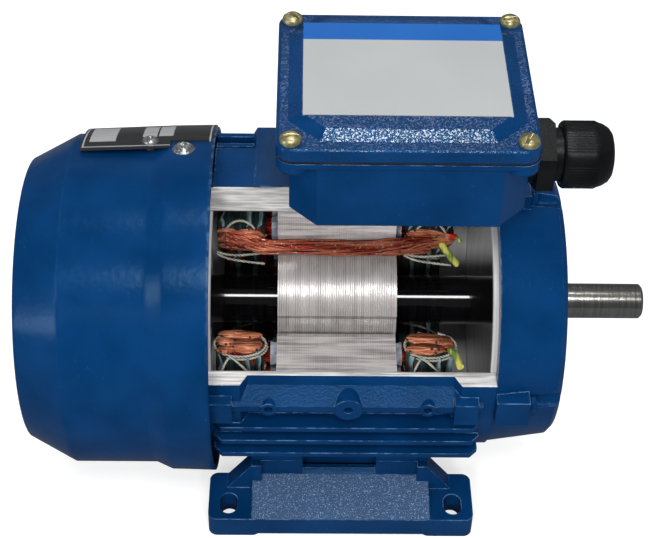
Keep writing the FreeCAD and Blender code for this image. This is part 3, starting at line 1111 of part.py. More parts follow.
lid_solid = fused("lid_solid", [
    lid_slab("lid_block", LID_BOTTOM, "lid_height", "lid_edge_radius"), lid_plateau()])
node(less("lid_cut", lid_solid, fused("lid_hollows", [
    lid_opening, lid_screw_holes, label_sheet("label_bed", "lid_height")])), "box_lid")
node(label_sheet("label_plate", "label_thickness"), "lid_label")
node(grouped("lid_screw_set", [
    screw(f"lid_screw_{number}", x, y, BORDER_TOP, "lid_screw_radius", "lid_screw_length",
          "lid_screw_head_radius", "lid_screw_head") for number, (x, y) in enumerate(LID_SCREW_PLACES)]),
     "lid_screws")


# ---------------------------------------------------------------- terminal board
STUD_PLACES = [(f"(board_rear_x + board_front_x)/2 + {step}*stud_pitch",
                f"board_middle_y + {side}*stud_row_y") for side in (-1, 1) for step in (-1, 0, 1)]
LINK_TOP = f"{BOARD_TOP} + link_thickness"
studs = grouped("stud_set", box_rods("stud", STUD_PLACES, "stud_radius", f"{FLOOR_TOP} + board_thickness/2",
                                     "board_thickness/2 + stud_height"))
node(studs, "terminal_studs")
board = box("board_block", "board_rear_x", "board_middle_y - board_half_width", FLOOR_TOP,
            "board_front_x - board_rear_x", "2*board_half_width", "board_thickness")
node(less("board_cut", board, fused("board_holes", [board_screw_set, studs])), "terminal_board")
node(board_screw_set, "board_screws")
nuts = [hexagon(f"stud_nut_{number}", "Z", x, y, LINK_TOP, "stud_nut_radius", "stud_nut_height")
        for number, (x, y) in enumerate(STUD_PLACES)]
node(less("nuts_cut", grouped("stud_nut_set", nuts), studs), "terminal_nuts")
first_x, first_y = STUD_PLACES[0]
bridge = box("star_bridge", f"{first_x} - link_half_width", f"{first_y} - link_half_width", BOARD_TOP,
             "2*stud_pitch + 2*link_half_width", "2*link_half_width", "link_thickness")
node(less("bridge_cut", bridge, studs), "terminal_links")
lugs = [box(f"lug_{number}", f"{x} - link_half_width", f"{y} - link_half_width", BOARD_TOP,
            "2*link_half_width", "link_half_width + lug_tail", "link_thickness")
        for number, (x, y) in enumerate(STUD_PLACES[3:])]
node(less("lugs_cut", grouped("lug_set", lugs), studs), "lead_lugs")


# ---------------------------------------------------------------- cable gland
def about_gland(name, points):
    """Body revolved about the gland's own axis."""
    return placed(turned(name, points), 0, "gland_y", "gland_z")


HEX_FACE = "lid_front_x + gland_lid_gap"
NECK_START = f"{HEX_FACE} + gland_hex_length"
NECK_END = f"{NECK_START} + gland_neck_length"
NUT_START = "box_front_x - box_wall - locknut_thickness"
CAP_START = f"{NECK_START} + gland_cap_gap"
CAP_SHOULDER = f"{CAP_START} + gland_cap_length"
CAP_BORE = "gland_neck_radius + gland_cap_clearance"
CAP_CROWN = "gland_cap_radius + gland_rib_height"
SEAL_SEAT = f"{NECK_END} - gland_seal_length"
gland_stem = about_gland("gland_stem", [
    (f"{NUT_START} - gland_tail", "gland_entry_radius"), (f"{NUT_START} - gland_tail", "gland_thread_radius"),
    (HEX_FACE, "gland_thread_radius"), (HEX_FACE, "gland_flange_radius"),
    (NECK_START, "gland_flange_radius"), (NECK_START, "gland_neck_radius"),
    (NECK_END, "gland_neck_radius"), (NECK_END, "gland_seal_radius"), (SEAL_SEAT, "gland_seal_radius"),
    (SEAL_SEAT, "gland_entry_radius")])
gland_hex = less("gland_hex_cut", hexagon("gland_hex", "X", HEX_FACE, "gland_y", "gland_z",
                                          "gland_hex_flats/sqrt(3)", "gland_hex_length"),
                 rod("gland_hex_bore", "X", HEX_FACE, "gland_y", "gland_z", "gland_entry_radius",
                     "gland_hex_length"))
node(fused("gland_solid", [gland_stem, gland_hex]), "gland_body")
node(about_gland("locknut_ring", [
    (NUT_START, "gland_thread_radius"), (NUT_START, "locknut_radius"),
    (f"{NUT_START} + locknut_thickness", "locknut_radius"),
    (f"{NUT_START} + locknut_thickness", "gland_thread_radius")]), "gland_locknut")
node(about_gland("gland_seal_ring", [
    (SEAL_SEAT, "gland_seal_bore"), (SEAL_SEAT, "gland_seal_radius"), (NECK_END, "gland_seal_radius"),
    (NECK_END, "gland_seal_bore")]), "gland_seal")
gland_cap = about_gland("gland_cap_turned", [
    (CAP_START, CAP_BORE), (CAP_START, CAP_CROWN), (CAP_SHOULDER, CAP_CROWN),
    (CAP_SHOULDER, "gland_cap_radius"), (f"{CAP_SHOULDER} + gland_dome_length", "gland_dome_radius"),
    (f"{CAP_SHOULDER} + gland_dome_length", "gland_entry_radius"),
    (f"{NECK_END} + gland_cap_clearance", "gland_entry_radius"),
    (f"{NECK_END} + gland_cap_clearance", CAP_BORE)])
pocketed(gland_cap, "cap_flute", [
    ("-gland_flute_half_width", "gland_cap_radius"), ("gland_flute_half_width", "gland_cap_radius"),
    ("gland_flute_half_width", "gland_cap_radius + 2*gland_rib_height"),
    ("-gland_flute_half_width", "gland_cap_radius + 2*gland_rib_height")],
    CAP_START, "gland_cap_length", "gland_rib_count")
node(gland_cap, "gland_cap")


# ---------------------------------------------------------------- leads inside the motor
STUD_X = [(mm.board_rear_x + mm.board_front_x) / 2 + step * mm.stud_pitch for step in (-1, 0, 1)]
LEAD_ROW_Y = mm.board_middle_y + mm.stud_row_y
LUG_TOP = mm.box_floor_z + mm.box_floor + mm.board_thickness + mm.link_thickness


def motor_lead(number):
    """Phase lead from the drive-end winding, up the wire passage, to the lug on one terminal."""
    place = number - 1
    x = mm.wire_hole_x + place * mm.lead_spacing
    y = mm.wire_hole_y + (1 - abs(place)) * mm.lead_spacing / 2
    height = mm.box_floor_z + mm.lead_rise + mm.lead_step * number
    drop_y = LEAD_ROW_Y + mm.lead_drop
    rest_z = LUG_TOP + mm.lead_radius
    path = [(x, y, mm.shaft_height + mm.winding_radius), (x, y, height), (STUD_X[number], drop_y, height),
            (STUD_X[number], drop_y, rest_z),
            (STUD_X[number], LEAD_ROW_Y + mm.stud_nut_radius + mm.lead_end_gap, rest_z)]
    return routed(path, mm.lead_radius)


def earth_sleeves():
    """Sleeved ends that come out of the drive-end winding at its two cut faces."""
    middle_x, radius = mm.drive_winding_x, mm.sleeve_radius
    end_x = middle_x + mm.winding_half_length
    crown_z = mm.shaft_height + mm.winding_radius
    face_y = mm.window_y - 1.2 * radius
    face_z = mm.shaft_height + mm.window_rise + 1.2 * radius
    upper = [(middle_x + 2 * radius, 2 * radius, crown_z),
             (end_x - 3 * radius, face_y, crown_z - mm.sleeve_length / 4),
             (end_x + 1.5 * radius, face_y, crown_z - mm.sleeve_length)]
    lower = [(end_x - 3 * radius, -mm.winding_radius, face_z - 6 * radius),
             (end_x - radius, -mm.winding_radius - 2 * radius, face_z),
             (end_x + radius, -mm.winding_radius - radius - mm.sleeve_length, face_z)]
    return [routed(upper, radius), routed(lower, radius)]


tied_winding = fused("tied_winding", [nodes["drive_end_winding"], nodes["drive_lacing"]])
tied_winding.Refine = False
node(less("leads_trimmed", shaped("lead_set", [motor_lead(number) for number in range(3)]), tied_winding),
     "motor_leads")
node(less("sleeves_trimmed", shaped("sleeve_set", earth_sleeves()), tied_winding), "earth_leads")


# ---------------------------------------------------------------- checks and export
doc.recompute()
for item in doc.Objects:
    if "Invalid" in item.State or "Error" in item.State:
        raise RuntimeError(f"{item.Label}: {item.State}")
for label, item in nodes.items():
    if item.Shape.isNull() or not item.Shape.isValid():
        raise RuntimeError(label + " has no valid shape")
os.makedirs("parts", exist_ok=True)
for label, item in nodes.items():
    item.Shape.exportStep(f"parts/{label}.step")
print(f"{len(nodes)} nodes written")
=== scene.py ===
# %% [markdown]
# # A sectioned three-phase motor
#
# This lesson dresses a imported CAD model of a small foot-mounted motor, cut open so that a class can
# see the rotor, the slots and the coils. The CAD parts are at their true places in metres, so most
# of the work is finishes. Where a solid is too plain for what it stands for, such as a bundle of
# wire, a modelled piece takes its place. The box that the CAD parts fill is kept for the end.

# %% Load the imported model
import json
import math
import bmesh
import bpy
from mathutils import Matrix, Vector, noise


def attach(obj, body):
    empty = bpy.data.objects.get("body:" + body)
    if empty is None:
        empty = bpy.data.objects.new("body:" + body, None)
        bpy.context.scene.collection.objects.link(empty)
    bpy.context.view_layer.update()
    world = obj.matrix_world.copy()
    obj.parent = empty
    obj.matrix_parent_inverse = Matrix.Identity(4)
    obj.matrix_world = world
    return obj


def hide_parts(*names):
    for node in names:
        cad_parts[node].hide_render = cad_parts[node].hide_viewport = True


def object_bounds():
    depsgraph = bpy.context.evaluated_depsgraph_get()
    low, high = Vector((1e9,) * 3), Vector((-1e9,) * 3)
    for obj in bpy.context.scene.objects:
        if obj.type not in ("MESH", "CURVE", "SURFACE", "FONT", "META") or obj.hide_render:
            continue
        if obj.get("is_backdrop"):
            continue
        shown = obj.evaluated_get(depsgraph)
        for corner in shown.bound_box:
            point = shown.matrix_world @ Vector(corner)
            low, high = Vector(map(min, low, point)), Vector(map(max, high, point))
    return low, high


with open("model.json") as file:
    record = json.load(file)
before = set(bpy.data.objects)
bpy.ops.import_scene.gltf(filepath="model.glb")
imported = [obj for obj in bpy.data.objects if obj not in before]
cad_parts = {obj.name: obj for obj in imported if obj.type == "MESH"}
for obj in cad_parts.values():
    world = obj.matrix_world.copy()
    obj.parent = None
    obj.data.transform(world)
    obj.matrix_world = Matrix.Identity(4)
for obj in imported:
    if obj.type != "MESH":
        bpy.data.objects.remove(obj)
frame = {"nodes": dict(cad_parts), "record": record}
cad_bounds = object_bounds()
parts = frame["nodes"]
link = bpy.context.scene.collection.objects.link

# %% [markdown]
# ## Camera
#
# The motor is seen from above its near side, a little off square. A camera's matrix has its right,
# up and backward directions as columns, and they follow from three angles: how far the camera looks
# down, how far it turns towards the shaft's end, and how far it rolls.

# %% Camera
DOWN, TURN, ROLL = (math.radians(angle) for angle in (43.865, 1.275, 1.346))
STAND = Vector((-0.06081, -0.42955, 0.50053))
LENS = 83.12
forward = Vector((math.sin(TURN) * math.cos(DOWN), math.cos(TURN) * math.cos(DOWN), -math.sin(DOWN)))
level = Vector((math.cos(TURN), -math.sin(TURN), 0))
above = level.cross(forward)
right = level * math.cos(ROLL) + above * math.sin(ROLL)
up = above * math.cos(ROLL) - level * math.sin(ROLL)
camera = bpy.data.objects.new("camera", bpy.data.cameras.new("camera"))
camera.data.lens = LENS
camera.matrix_world = Matrix.LocRotScale(STAND, Matrix((right, up, -forward)).transposed(), None)
link(camera)
bpy.context.scene.camera = camera
print("camera looks along", [round(part, 3) for part in forward])

# %% [markdown]
# ## Shader sums as Python
#
# A finish is a network of nodes. One class wraps a node's output, so that sums can be written on
# it. A second makes any node in one call: first its settings, which decide the sockets that there
# are, and then its inputs. A third is a material.

# %% Signals and finishes
class Signal:
    """The output of a shader node; each sum on it adds a Math node."""

    def __init__(self, owner, socket):
        self.owner = owner
        self.socket = socket

    def sum(self, operation, *others):
        inputs = dict(enumerate((self, *others)))
        return self.owner.node("ShaderNodeMath", {"operation": operation}, inputs)

    def __add__(self, other):
        return self.sum("ADD", other)

    def __sub__(self, other):
        return self.sum("SUBTRACT", other)

    def __mul__(self, other):
        return self.sum("MULTIPLY", other)

    def __rsub__(self, other):
        return self.sum("MULTIPLY_ADD", -1, other)

    __radd__ = __add__
    __rmul__ = __mul__

    def above(self, edge):
        return self.sum("GREATER_THAN", edge)

    def below(self, edge):
        return self.sum("LESS_THAN", edge)

    def near(self, place, width):
        """1 within a width of a place, and 0 beyond."""
        return (self - place).sum("ABSOLUTE").below(width)

    def rise(self, low, high):
        """0 below low, 1 above high, and a smooth step between them."""
        return self.owner.node("ShaderNodeMapRange", {"interpolation_type": "SMOOTHSTEP"},
                               {"Value": self, "From Min": low, "From Max": high})


class Tree:
    """A node tree in which one call makes a node and feeds it."""

    def __init__(self, tree):
        self.tree = tree

    def node(self, kind, settings, inputs, output=0):
        node = self.tree.nodes.new(kind)
        for name, value in settings.items():
            setattr(node, name, value)
        for name, value in inputs.items():
            self.feed(node.inputs[name], value)
        return Signal(self, node.outputs[output])

    def feed(self, socket, value):
        if isinstance(value, Signal):
            self.tree.links.new(value.socket, socket)
        else:
            socket.default_value = value

    def ray(self, kind):
        """1 for rays of a kind, and 0 for the others."""
        return self.node("ShaderNodeLightPath", {}, {}, f"Is {kind} Ray")


class Finish(Tree):
    """One material, its shader and the nodes that feed it."""

    def __init__(self, name, **constants):
        self.material = bpy.data.materials.new(name)
        self.material.use_nodes = True
        super().__init__(self.material.node_tree)
        self.shader = self.tree.nodes["Principled BSDF"]
        self.set(**constants)

    def set(self, **inputs):
        for name, value in inputs.items():
            self.feed(self.shader.inputs[name.replace("_", " ")], value)

    def place(self, stretch=(1, 1, 1)):
        """The point of the surface, in metres, stretched."""
        here = self.node("ShaderNodeTexCoord", {}, {}, "Object")
        return self.node("ShaderNodeMapping", {}, {"Vector": here, "Scale": stretch})

    def axes(self, vector=None):
        """The three parts of a vector, which is the point of the surface if none is given."""
        vector = vector or self.place()
        return [self.node("ShaderNodeSeparateXYZ", {}, {"Vector": vector}, axis) for axis in "XYZ"]

    def noise(self, scale, detail=2, stretch=(1, 1, 1)):
        return self.node("ShaderNodeTexNoise", {},
                         {"Vector": self.place(stretch), "Scale": scale, "Detail": detail}, "Fac")

    def blend(self, share, first, second):
        """Colour that goes from the first to the second as the share rises to 1."""
        return self.node("ShaderNodeMix", {"data_type": "RGBA"}, {0: share, 6: first, 7: second}, 2)

    def relief(self, height, depth, **base):
        """Bump of a real depth in metres, over the given base normal if there is one."""
        self.set(Normal=self.node("ShaderNodeBump", {}, {"Height": height, "Distance": depth, **base}))

    def edges(self, radius):
        """The normal as if edges were rounded, and how close an edge is, from 0 to 1."""
        soft = self.node("ShaderNodeBevel", {"samples": 6}, {"Radius": radius})
        true = self.node("ShaderNodeNewGeometry", {}, {}, "Normal")
        agree = self.node("ShaderNodeVectorMath", {"operation": "DOT_PRODUCT"}, {0: soft, 1: true}, "Value")
        return soft, (1 - agree).rise(0.03, 0.3)


def colour(red, green, blue):
    """A linear colour from the everyday 0 to 255 scale."""
    parts = (part / 255 for part in (red, green, blue))
    return (*(part / 12.92 if part < 0.04 else ((part + 0.055) / 1.055) ** 2.4 for part in parts), 1)


print("a mid grey is", round(colour(128, 128, 128)[0], 3), "in linear light")

# %% [markdown]
# ## Floor, world and lamps
#
# A pale floor catches a soft shadow. The camera sees a white world and a near-white floor, while
# gloss paint mirrors a darker room, so its blue stays deep. The overhead lamp lights level faces,
# the high one in front draws the line along the shaft, and two low ones light the sectioned side.
# Three more light the back and the drive end, and a narrow one beyond the fan end draws the long
# highlight on the round cowl.

# %% Floor and world
bpy.context.scene.view_settings.view_transform = "Standard"
sheet = bmesh.new()
bmesh.ops.create_grid(sheet, x_segments=1, y_segments=1, size=4)
floor = bpy.data.objects.new("floor", bpy.data.meshes.new("floor"))
sheet.to_mesh(floor.data)
sheet.free()
link(floor)
floor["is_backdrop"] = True
studio = Finish("studio_floor", Roughness=0.9)
studio.set(Base_Color=studio.blend(studio.ray("Glossy"), colour(190, 190, 190), colour(92, 94, 98)))
glow = studio.node("ShaderNodeEmission", {}, {"Strength": 0.62 * studio.ray("Camera")}, "Emission")
seen = studio.node("ShaderNodeAddShader", {}, {0: Signal(studio, studio.shader.outputs[0]), 1: glow})
studio.feed(studio.tree.nodes["Material Output"].inputs["Surface"], seen)
floor.data.materials.append(studio.material)

world = bpy.data.worlds.new("studio")
world.use_nodes = True
bpy.context.scene.world = world
room = Tree(world.node_tree)
sky = world.node_tree.nodes["Background"].inputs
room.feed(sky["Color"], (1, 1, 1, 1))
room.feed(sky["Strength"], 0.3 + 0.7 * room.ray("Camera") - 0.2 * room.ray("Glossy"))
print("floor and world are ready")

# %% Lamps
def lamp(name, place, aim, width, height, power, mirrored=True):
    """Soft rectangular lamp that faces a point; it may be left out of reflections."""
    light = bpy.data.lights.new(name, "AREA")
    light.shape = "RECTANGLE"
    light.size, light.size_y, light.energy = width, height, power
    stand = bpy.data.objects.new(name, light)
    stand.location = place
    stand.rotation_euler = (Vector(aim) - Vector(place)).to_track_quat("-Z", "Y").to_euler()
    stand.visible_glossy = mirrored
    link(stand)
    return power


lamps = [
    lamp("overhead", (-0.02, 0.08, 1.05), (-0.04, -0.03, 0.03), 0.3, 0.12, 2.6),
    lamp("front_high", (-0.012, -0.58, 1.0), (-0.04, 0, 0.08), 0.4, 0.2, 4.2),
    lamp("front_left", (-0.3, -0.86, 0.66), (-0.02, 0, 0.07), 0.2, 0.2, 4.4, False),
    lamp("front_right", (0.2, -0.88, 0.66), (-0.06, 0, 0.07), 0.2, 0.2, 2.8, False),
    lamp("behind", (0.04, 0.8, 0.8), (-0.02, 0, 0.12), 0.3, 0.1, 0.26),
    lamp("back_fill", (-0.35, 0.85, 0.55), (-0.05, 0, 0.08), 0.6, 0.4, 4.0, False),
    lamp("drive_side", (0.8, 0.15, 0.4), (0, 0, 0.08), 0.4, 0.4, 2.4, False),
    lamp("fan_side", (-0.75, -0.35, 0.35), (-0.12, 0, 0.07), 0.1, 0.5, 1.2),
]
print(len(lamps), "lamps,", sum(lamps), "watts in all")

# %% [markdown]
# ## Enamel
#
# The castings and the fan cowl wear one blue enamel, with the grain of the sand mould over a
# casting and only a ripple over pressed sheet. Slow noise moves the colour, and edges that face up
# are pale, partly worn paint and partly a painted highlight. The sloped faces of the feet get a
# pale haze and pale specks, a painted glint of light, and the lid gets specks of gloss.

# %% Blue enamel
def enamel(name, grain_size, grain_depth, edge_radius=0.0008, gloss=0.14):
    """Gloss paint; it keeps its tint, roughness, skin and soft normal for what is laid over it."""
    finish = Finish(name, Specular_IOR_Level=gloss, Specular_Tint=colour(160, 220, 255),
                    Coat_Roughness=0.08)
    cloud = finish.noise(45, 3)
    dust = finish.noise(900, 2).rise(0.68, 0.8)
    finish.soft, edge = finish.edges(edge_radius)
    upward = finish.axes(finish.soft)[2].rise(0.2, 0.8)
    # Edges that face up turn pale: partly worn paint, partly a painted highlight along the edges.
    pale_share = edge * upward * (0.1 + 0.75 * finish.noise(260, 2).rise(0.42, 0.62))
    tint = finish.blend(cloud.rise(0.3, 0.7), colour(3, 43, 84), colour(6, 51, 97))
    tint = finish.blend(dust * 0.15, tint, colour(70, 122, 172))
    finish.tint = finish.blend(pale_share, tint, colour(140, 176, 212))
    finish.rough = 0.14 + 0.1 * cloud
    finish.skin = finish.noise(1 / grain_size, 3)
    finish.set(Base_Color=finish.tint, Roughness=finish.rough, Coat_Weight=0.05 * cloud)
    finish.relief(finish.skin, grain_depth, Normal=finish.soft)
    return finish


cast_enamel = enamel("cast_enamel", 0.0011, 0.00016)
foot_enamel = enamel("foot_enamel", 0.0006, 0.0002, gloss=0.4)
lean, rise = foot_enamel.axes(foot_enamel.soft)[1:]
slope = (lean * lean).rise(0.03, 0.05) * rise.rise(0.9, 0.94)
# Painted glints: the sloped faces are lightened a little all over and specked pale, as if light glinted off the
# grain.
painted_glint_specks = slope * (0.1 + 0.5 * foot_enamel.noise(2100, 1).rise(0.54, 0.74))
foot_enamel.set(Base_Color=foot_enamel.blend(painted_glint_specks, foot_enamel.tint, colour(170, 198, 228)))
lid_enamel = enamel("coarse_enamel", 0.0008, 0.00016, gloss=0.25)
lid_enamel.set(Coat_Weight=lid_enamel.noise(1500, 2).rise(0.54, 0.6), Coat_Roughness=0.16)
sheet_enamel = enamel("sheet_enamel", 0.0022, 0.00007, 0.0025)
print("paint has", len(cast_enamel.tree.nodes), "nodes")

# %% [markdown]
# The housing and the end shields need paints of their own, because their inner walls and the sawn
# faces are bare aluminium. A point is bare if it is nearer to the shaft line than the bore, or lies
# on one of the two sawn planes. On the upright plane the brush went over the edge here and there,
# so noise moves the border.

# %% Housing: paint outside, bare aluminium inside
SHAFT_Z = 0.071
SAWN_Y, SAWN_Z = -0.0035, 0.0815
SKIM = 0.00012
BORE, RIM_Z = 0.0504, 0.1322
RINGS = (1, 0.02, 0.02)


def shaft_distance(y, z):
    lift = z - SHAFT_Z
    return (y * y + lift * lift).sum("SQRT")


def bored_wall(finish):
    """Marks of the boring bar, and the colour of the bare wall with them."""
    marks = finish.noise(1500, 2, RINGS)
    return marks, finish.blend(marks, colour(168, 167, 168), colour(206, 205, 206))


frame_enamel = paint = enamel("frame_enamel", 0.0009, 0.0001, gloss=0.1)
x, y, z = paint.axes()
bored = shaft_distance(y, z).below(BORE)
border = RIM_Z + 0.0012 * paint.noise(160, 2)
upright = y.near(SAWN_Y, SKIM) * z.above(SAWN_Z - 0.0005) * (border - z).above(0)
level_cut = z.near(SAWN_Z, SKIM) * y.below(SAWN_Y + 0.0005)
bare = bored.sum("MAXIMUM", upright.sum("MAXIMUM", level_cut))
saw = paint.noise(900, 3, (0.08, 1, 1)).rise(0.25, 0.75)
turned_marks, wall = bored_wall(paint)
marks = paint.node("ShaderNodeMix", {"data_type": "FLOAT"}, {0: bored, 2: saw, 3: turned_marks})
silver = paint.blend(marks, colour(176, 175, 174), colour(254, 253, 250))
metal = paint.blend(bored, silver, wall)
paint.set(Base_Color=paint.blend(bare, paint.tint, metal), Metallic=0.3 * bare * (1 - bored),
          Roughness=paint.rough + bare * (0.18 + 0.12 * marks), Coat_Weight=0.07 * (1 - bare))
paint.relief(paint.skin * (1 - bare) + 0.35 * marks * bare, 0.00016, Normal=paint.soft)
print("bare metal under", 2000 * BORE, "mm across")

# %% End shields: painted outside, bare inside
SHIELD_FACES = (-0.1035, 0.0345)
shield_enamel = paint = enamel("shield_enamel", 0.0011, 0.00016)
x, y, z = paint.axes()
inside = shaft_distance(y, z).below(BORE + 0.0001) * x.above(SHIELD_FACES[0]) * x.below(SHIELD_FACES[1])
marks, wall = bored_wall(paint)
paint.set(Base_Color=paint.blend(inside, paint.tint, wall), Metallic=0.1 * inside,
          Roughness=paint.rough + 0.2 * inside, Coat_Weight=0.07 * (1 - inside))
paint.relief(paint.skin * (1 - inside) + 0.35 * marks * inside, 0.00016, Normal=paint.soft)
print("shields are bare for", round(1000 * (SHIELD_FACES[1] - SHIELD_FACES[0])), "mm between them")

# %% [markdown]
# ## Metals
#
# Most metals differ only in colour, roughness and the run of their tool marks, so one function
# makes them all. The marks are noise. A stretch of nearly nothing along Y and Z turns it into rings
# round the shaft line, as a lathe leaves them.

# %% Worked metals
TURNED = (1, 0.03, 0.03)


def metal_finish(name, dark, bright, rough, marks_per_metre, stretch=(1, 1, 1)):
    """Metal whose marks move its colour, roughness and height together."""
    finish = Finish(name, Metallic=0.8)
    marks = finish.noise(marks_per_metre, 3, stretch).rise(0.28, 0.72)
    cloud = finish.noise(90, 2)
    finish.set(Base_Color=finish.blend(0.75 * marks + 0.25 * cloud, colour(*dark), colour(*bright)),
               Roughness=rough + 0.14 * marks + 0.08 * cloud)
    finish.relief(marks, 0.00004)
    return finish


METALS = {
    "bearing_steel": ((150, 152, 156), (214, 216, 220), 0.2, 1400, TURNED),
    "spring_steel": ((88, 92, 98), (150, 154, 160), 0.3, 700),
    "zinc_steel": ((118, 124, 124), (196, 200, 200), 0.2, 800),
    "yellow_zinc": ((128, 122, 84), (206, 198, 152), 0.28, 500),
    "brass": ((150, 112, 48), (214, 178, 92), 0.25, 900),
}
finishes = {name: metal_finish(name, *numbers) for name, numbers in METALS.items()}
print(len(finishes), "worked metals, with the shaft and the laminations to come")

# %% [markdown]
# The stator and the rotor are stacks of thin sheets. Their edges are never quite level, so a stack
# shows fine lines, light and dark, with a few that are bolder.

# %% Laminations
SHEETS = 360


def stack(name, metallic, bright, sawn=False):
    """Sheet edges; a stack that was sawn also has level smears on its two cut planes."""
    finish = Finish(name, Metallic=metallic)
    x, y, z = finish.axes()
    sheets = finish.node("ShaderNodeTexWave", {"wave_type": "BANDS", "bands_direction": "X"},
                         {"Vector": finish.place(), "Scale": SHEETS, "Distortion": 0.6, "Detail": 1}, "Fac")
    bold = finish.noise(520, 2, RINGS)
    cloud = finish.noise(190, 3)
    lines = (0.22 * sheets + 0.43 * bold + 0.35 * cloud).rise(0.15, 0.75)
    if sawn:
        upright = y.near(SAWN_Y, 0.0001) * z.above(SAWN_Z)
        whole = (upright + z.near(SAWN_Z, 0.0001) * y.below(SAWN_Y)).below(0.5)
        smear = 0.75 * finish.noise(700, 4, (0.07, 1, 1)).rise(0.25, 0.75) + 0.25 * lines
        lines = finish.node("ShaderNodeMix", {"data_type": "FLOAT"}, {0: whole, 2: smear, 3: lines})
    finish.set(Base_Color=finish.blend(lines, colour(122, 117, 116), colour(*bright)),
               Roughness=0.25 + 0.14 * (1 - lines))
    finish.relief(lines, 0.00008)
    return finish


laminations = stack("rotor_stack", 0.45, (206, 201, 199))
sawn_stack = stack("stator_stack", 0.2, (226, 221, 219), sawn=True)
print("a line about every", round(100 * math.pi / SHEETS, 2), "mm")

# %% [markdown]
# The shaft is one turned bar. Between the bearings, inside the housing, it is polished and its colour
# is painted near black, a painted dark reflection of the shaded housing; it shines with one thin line
# of light. Its free end is ground bright. The place along X decides between the two.

# %% Shaft
BLACK_FROM, BLACK_TO = -0.1003, 0.0238
bar = Finish("shaft_steel", Coat_Roughness=0.08)
x, y, z = bar.axes()
# Inside the housing the colour is painted near black, a painted dark reflection.
painted_dark_zone = x.above(BLACK_FROM) * x.below(BLACK_TO)
rings = bar.noise(1300, 3, TURNED).rise(0.3, 0.7)
bright = bar.blend(rings, colour(158, 158, 152), colour(186, 186, 180))
black = bar.blend(rings, colour(9, 9, 11), colour(24, 24, 27))
bar.set(Base_Color=bar.blend(painted_dark_zone, bright, black), Metallic=1 - 0.4 * painted_dark_zone,
        Coat_Weight=painted_dark_zone, Roughness=0.2 - 0.1 * painted_dark_zone + 0.06 * rings * (1 - painted_dark_zone))
bar.relief(rings * (1 - 0.85 * painted_dark_zone), 0.00001)
print("black between the bearings,", round(1000 * (BLACK_TO - BLACK_FROM)), "mm")

# %% [markdown]
# ## Copper, paper and cord
#
# The wires of an end winding run round the shaft line. A point's distance from that line and its
# place along X stay the same all along a turn, so noise on those two numbers draws wires that
# follow the ring. Their lacquer is dark red, and the sawn faces show clean copper with pale
# specks painted in as glints of light.

# %% Copper
copper = Finish("copper", Coat_Roughness=0.12)
x, y, z = copper.axes()
angle = y.sum("ARCTAN2", z - SHAFT_Z)
course = copper.node("ShaderNodeCombineXYZ", {},
                     {0: x + 0.0035 * angle, 1: shaft_distance(y, z), 2: 0.0012 * angle})
strands = copper.node("ShaderNodeTexNoise", {}, {"Vector": course, "Scale": 1000, "Detail": 2}, "Fac")
strands = strands.rise(0.32, 0.66)
upright = y.near(SAWN_Y, SKIM) * z.above(SAWN_Z - 0.001)
sawn_face = (upright + z.near(SAWN_Z, SKIM) * y.below(SAWN_Y)).above(0.5)
grooves = copper.noise(1100, 3, (0.16, 1, 1)).rise(0.3, 0.7)
# Painted highlight: pale specks in the colour of the sawn copper stand in for glints of light.
painted_glints = copper.noise(1500, 1).rise(0.66, 0.74)
wrap = copper.noise(120, 3).rise(0.38, 0.5)
clean = copper.blend(grooves, colour(160, 78, 50), colour(238, 156, 116))
clean = copper.blend(0.6 * painted_glints, clean, colour(255, 214, 186))
covered = copper.blend(wrap, copper.blend(strands, colour(36, 8, 6), colour(122, 34, 22)),
                       copper.blend(strands, colour(20, 30, 30), colour(48, 66, 64)))
copper.set(Base_Color=copper.blend(sawn_face, covered, clean), Metallic=0.4 * sawn_face,
           Roughness=0.4 - 0.08 * sawn_face + 0.2 * strands * (1 - sawn_face),
           Coat_Weight=0.35 * (1 - sawn_face) * (1 - wrap))
copper.relief(grooves * sawn_face + strands * (1 - sawn_face), 0.0004)

bare_wire = Finish("bright_copper", Metallic=0.7, Coat_Weight=0.2, Coat_Roughness=0.15)
rubbed = bare_wire.noise(600, 3, (0.12, 1, 1)).rise(0.35, 0.62)
# Painted highlight: pale specks in the colour of the bare coil stand in for glints of light.
painted_glints = bare_wire.noise(900, 1).rise(0.62, 0.72)
hue = bare_wire.blend(rubbed, colour(150, 44, 26), colour(214, 128, 98))
bare_wire.set(Base_Color=bare_wire.blend(0.6 * painted_glints, hue, colour(255, 222, 200)),
              Roughness=0.3 + 0.15 * rubbed)
bare_wire.relief(rubbed, 0.0002)

coated = Finish("lacquered_wire", Metallic=0.35, Coat_Weight=0.6, Coat_Roughness=0.08)
shade = coated.noise(700, 2, (0.1, 1, 1)).rise(0.35, 0.7)
coated.set(Base_Color=coated.blend(shade, colour(70, 14, 10), colour(176, 44, 26)),
           Roughness=0.3 + 0.1 * shade)
coated.relief(shade, 0.0001)
print("copper rings and coated wires")

# %% Paper, cord and sleeves
paper = Finish("slot_paper", Specular_IOR_Level=0.4)
fibres = paper.noise(900, 4, (0.5, 1, 1))
stain = paper.noise(120, 3).rise(0.35, 0.7)
paper.set(Base_Color=paper.blend(0.5 * fibres + 0.5 * stain, colour(70, 96, 96), colour(140, 158, 166)),
          Roughness=0.42 + 0.2 * fibres)
paper.relief(fibres, 0.0001)

film = Finish("liner_film", Coat_Weight=0.5, Coat_Roughness=0.12)
crease = film.noise(260, 3).rise(0.3, 0.7)
film.set(Base_Color=film.blend(crease, colour(120, 130, 142), colour(178, 186, 196)),
         Roughness=0.3 + 0.15 * crease)
film.relief(crease, 0.0003)

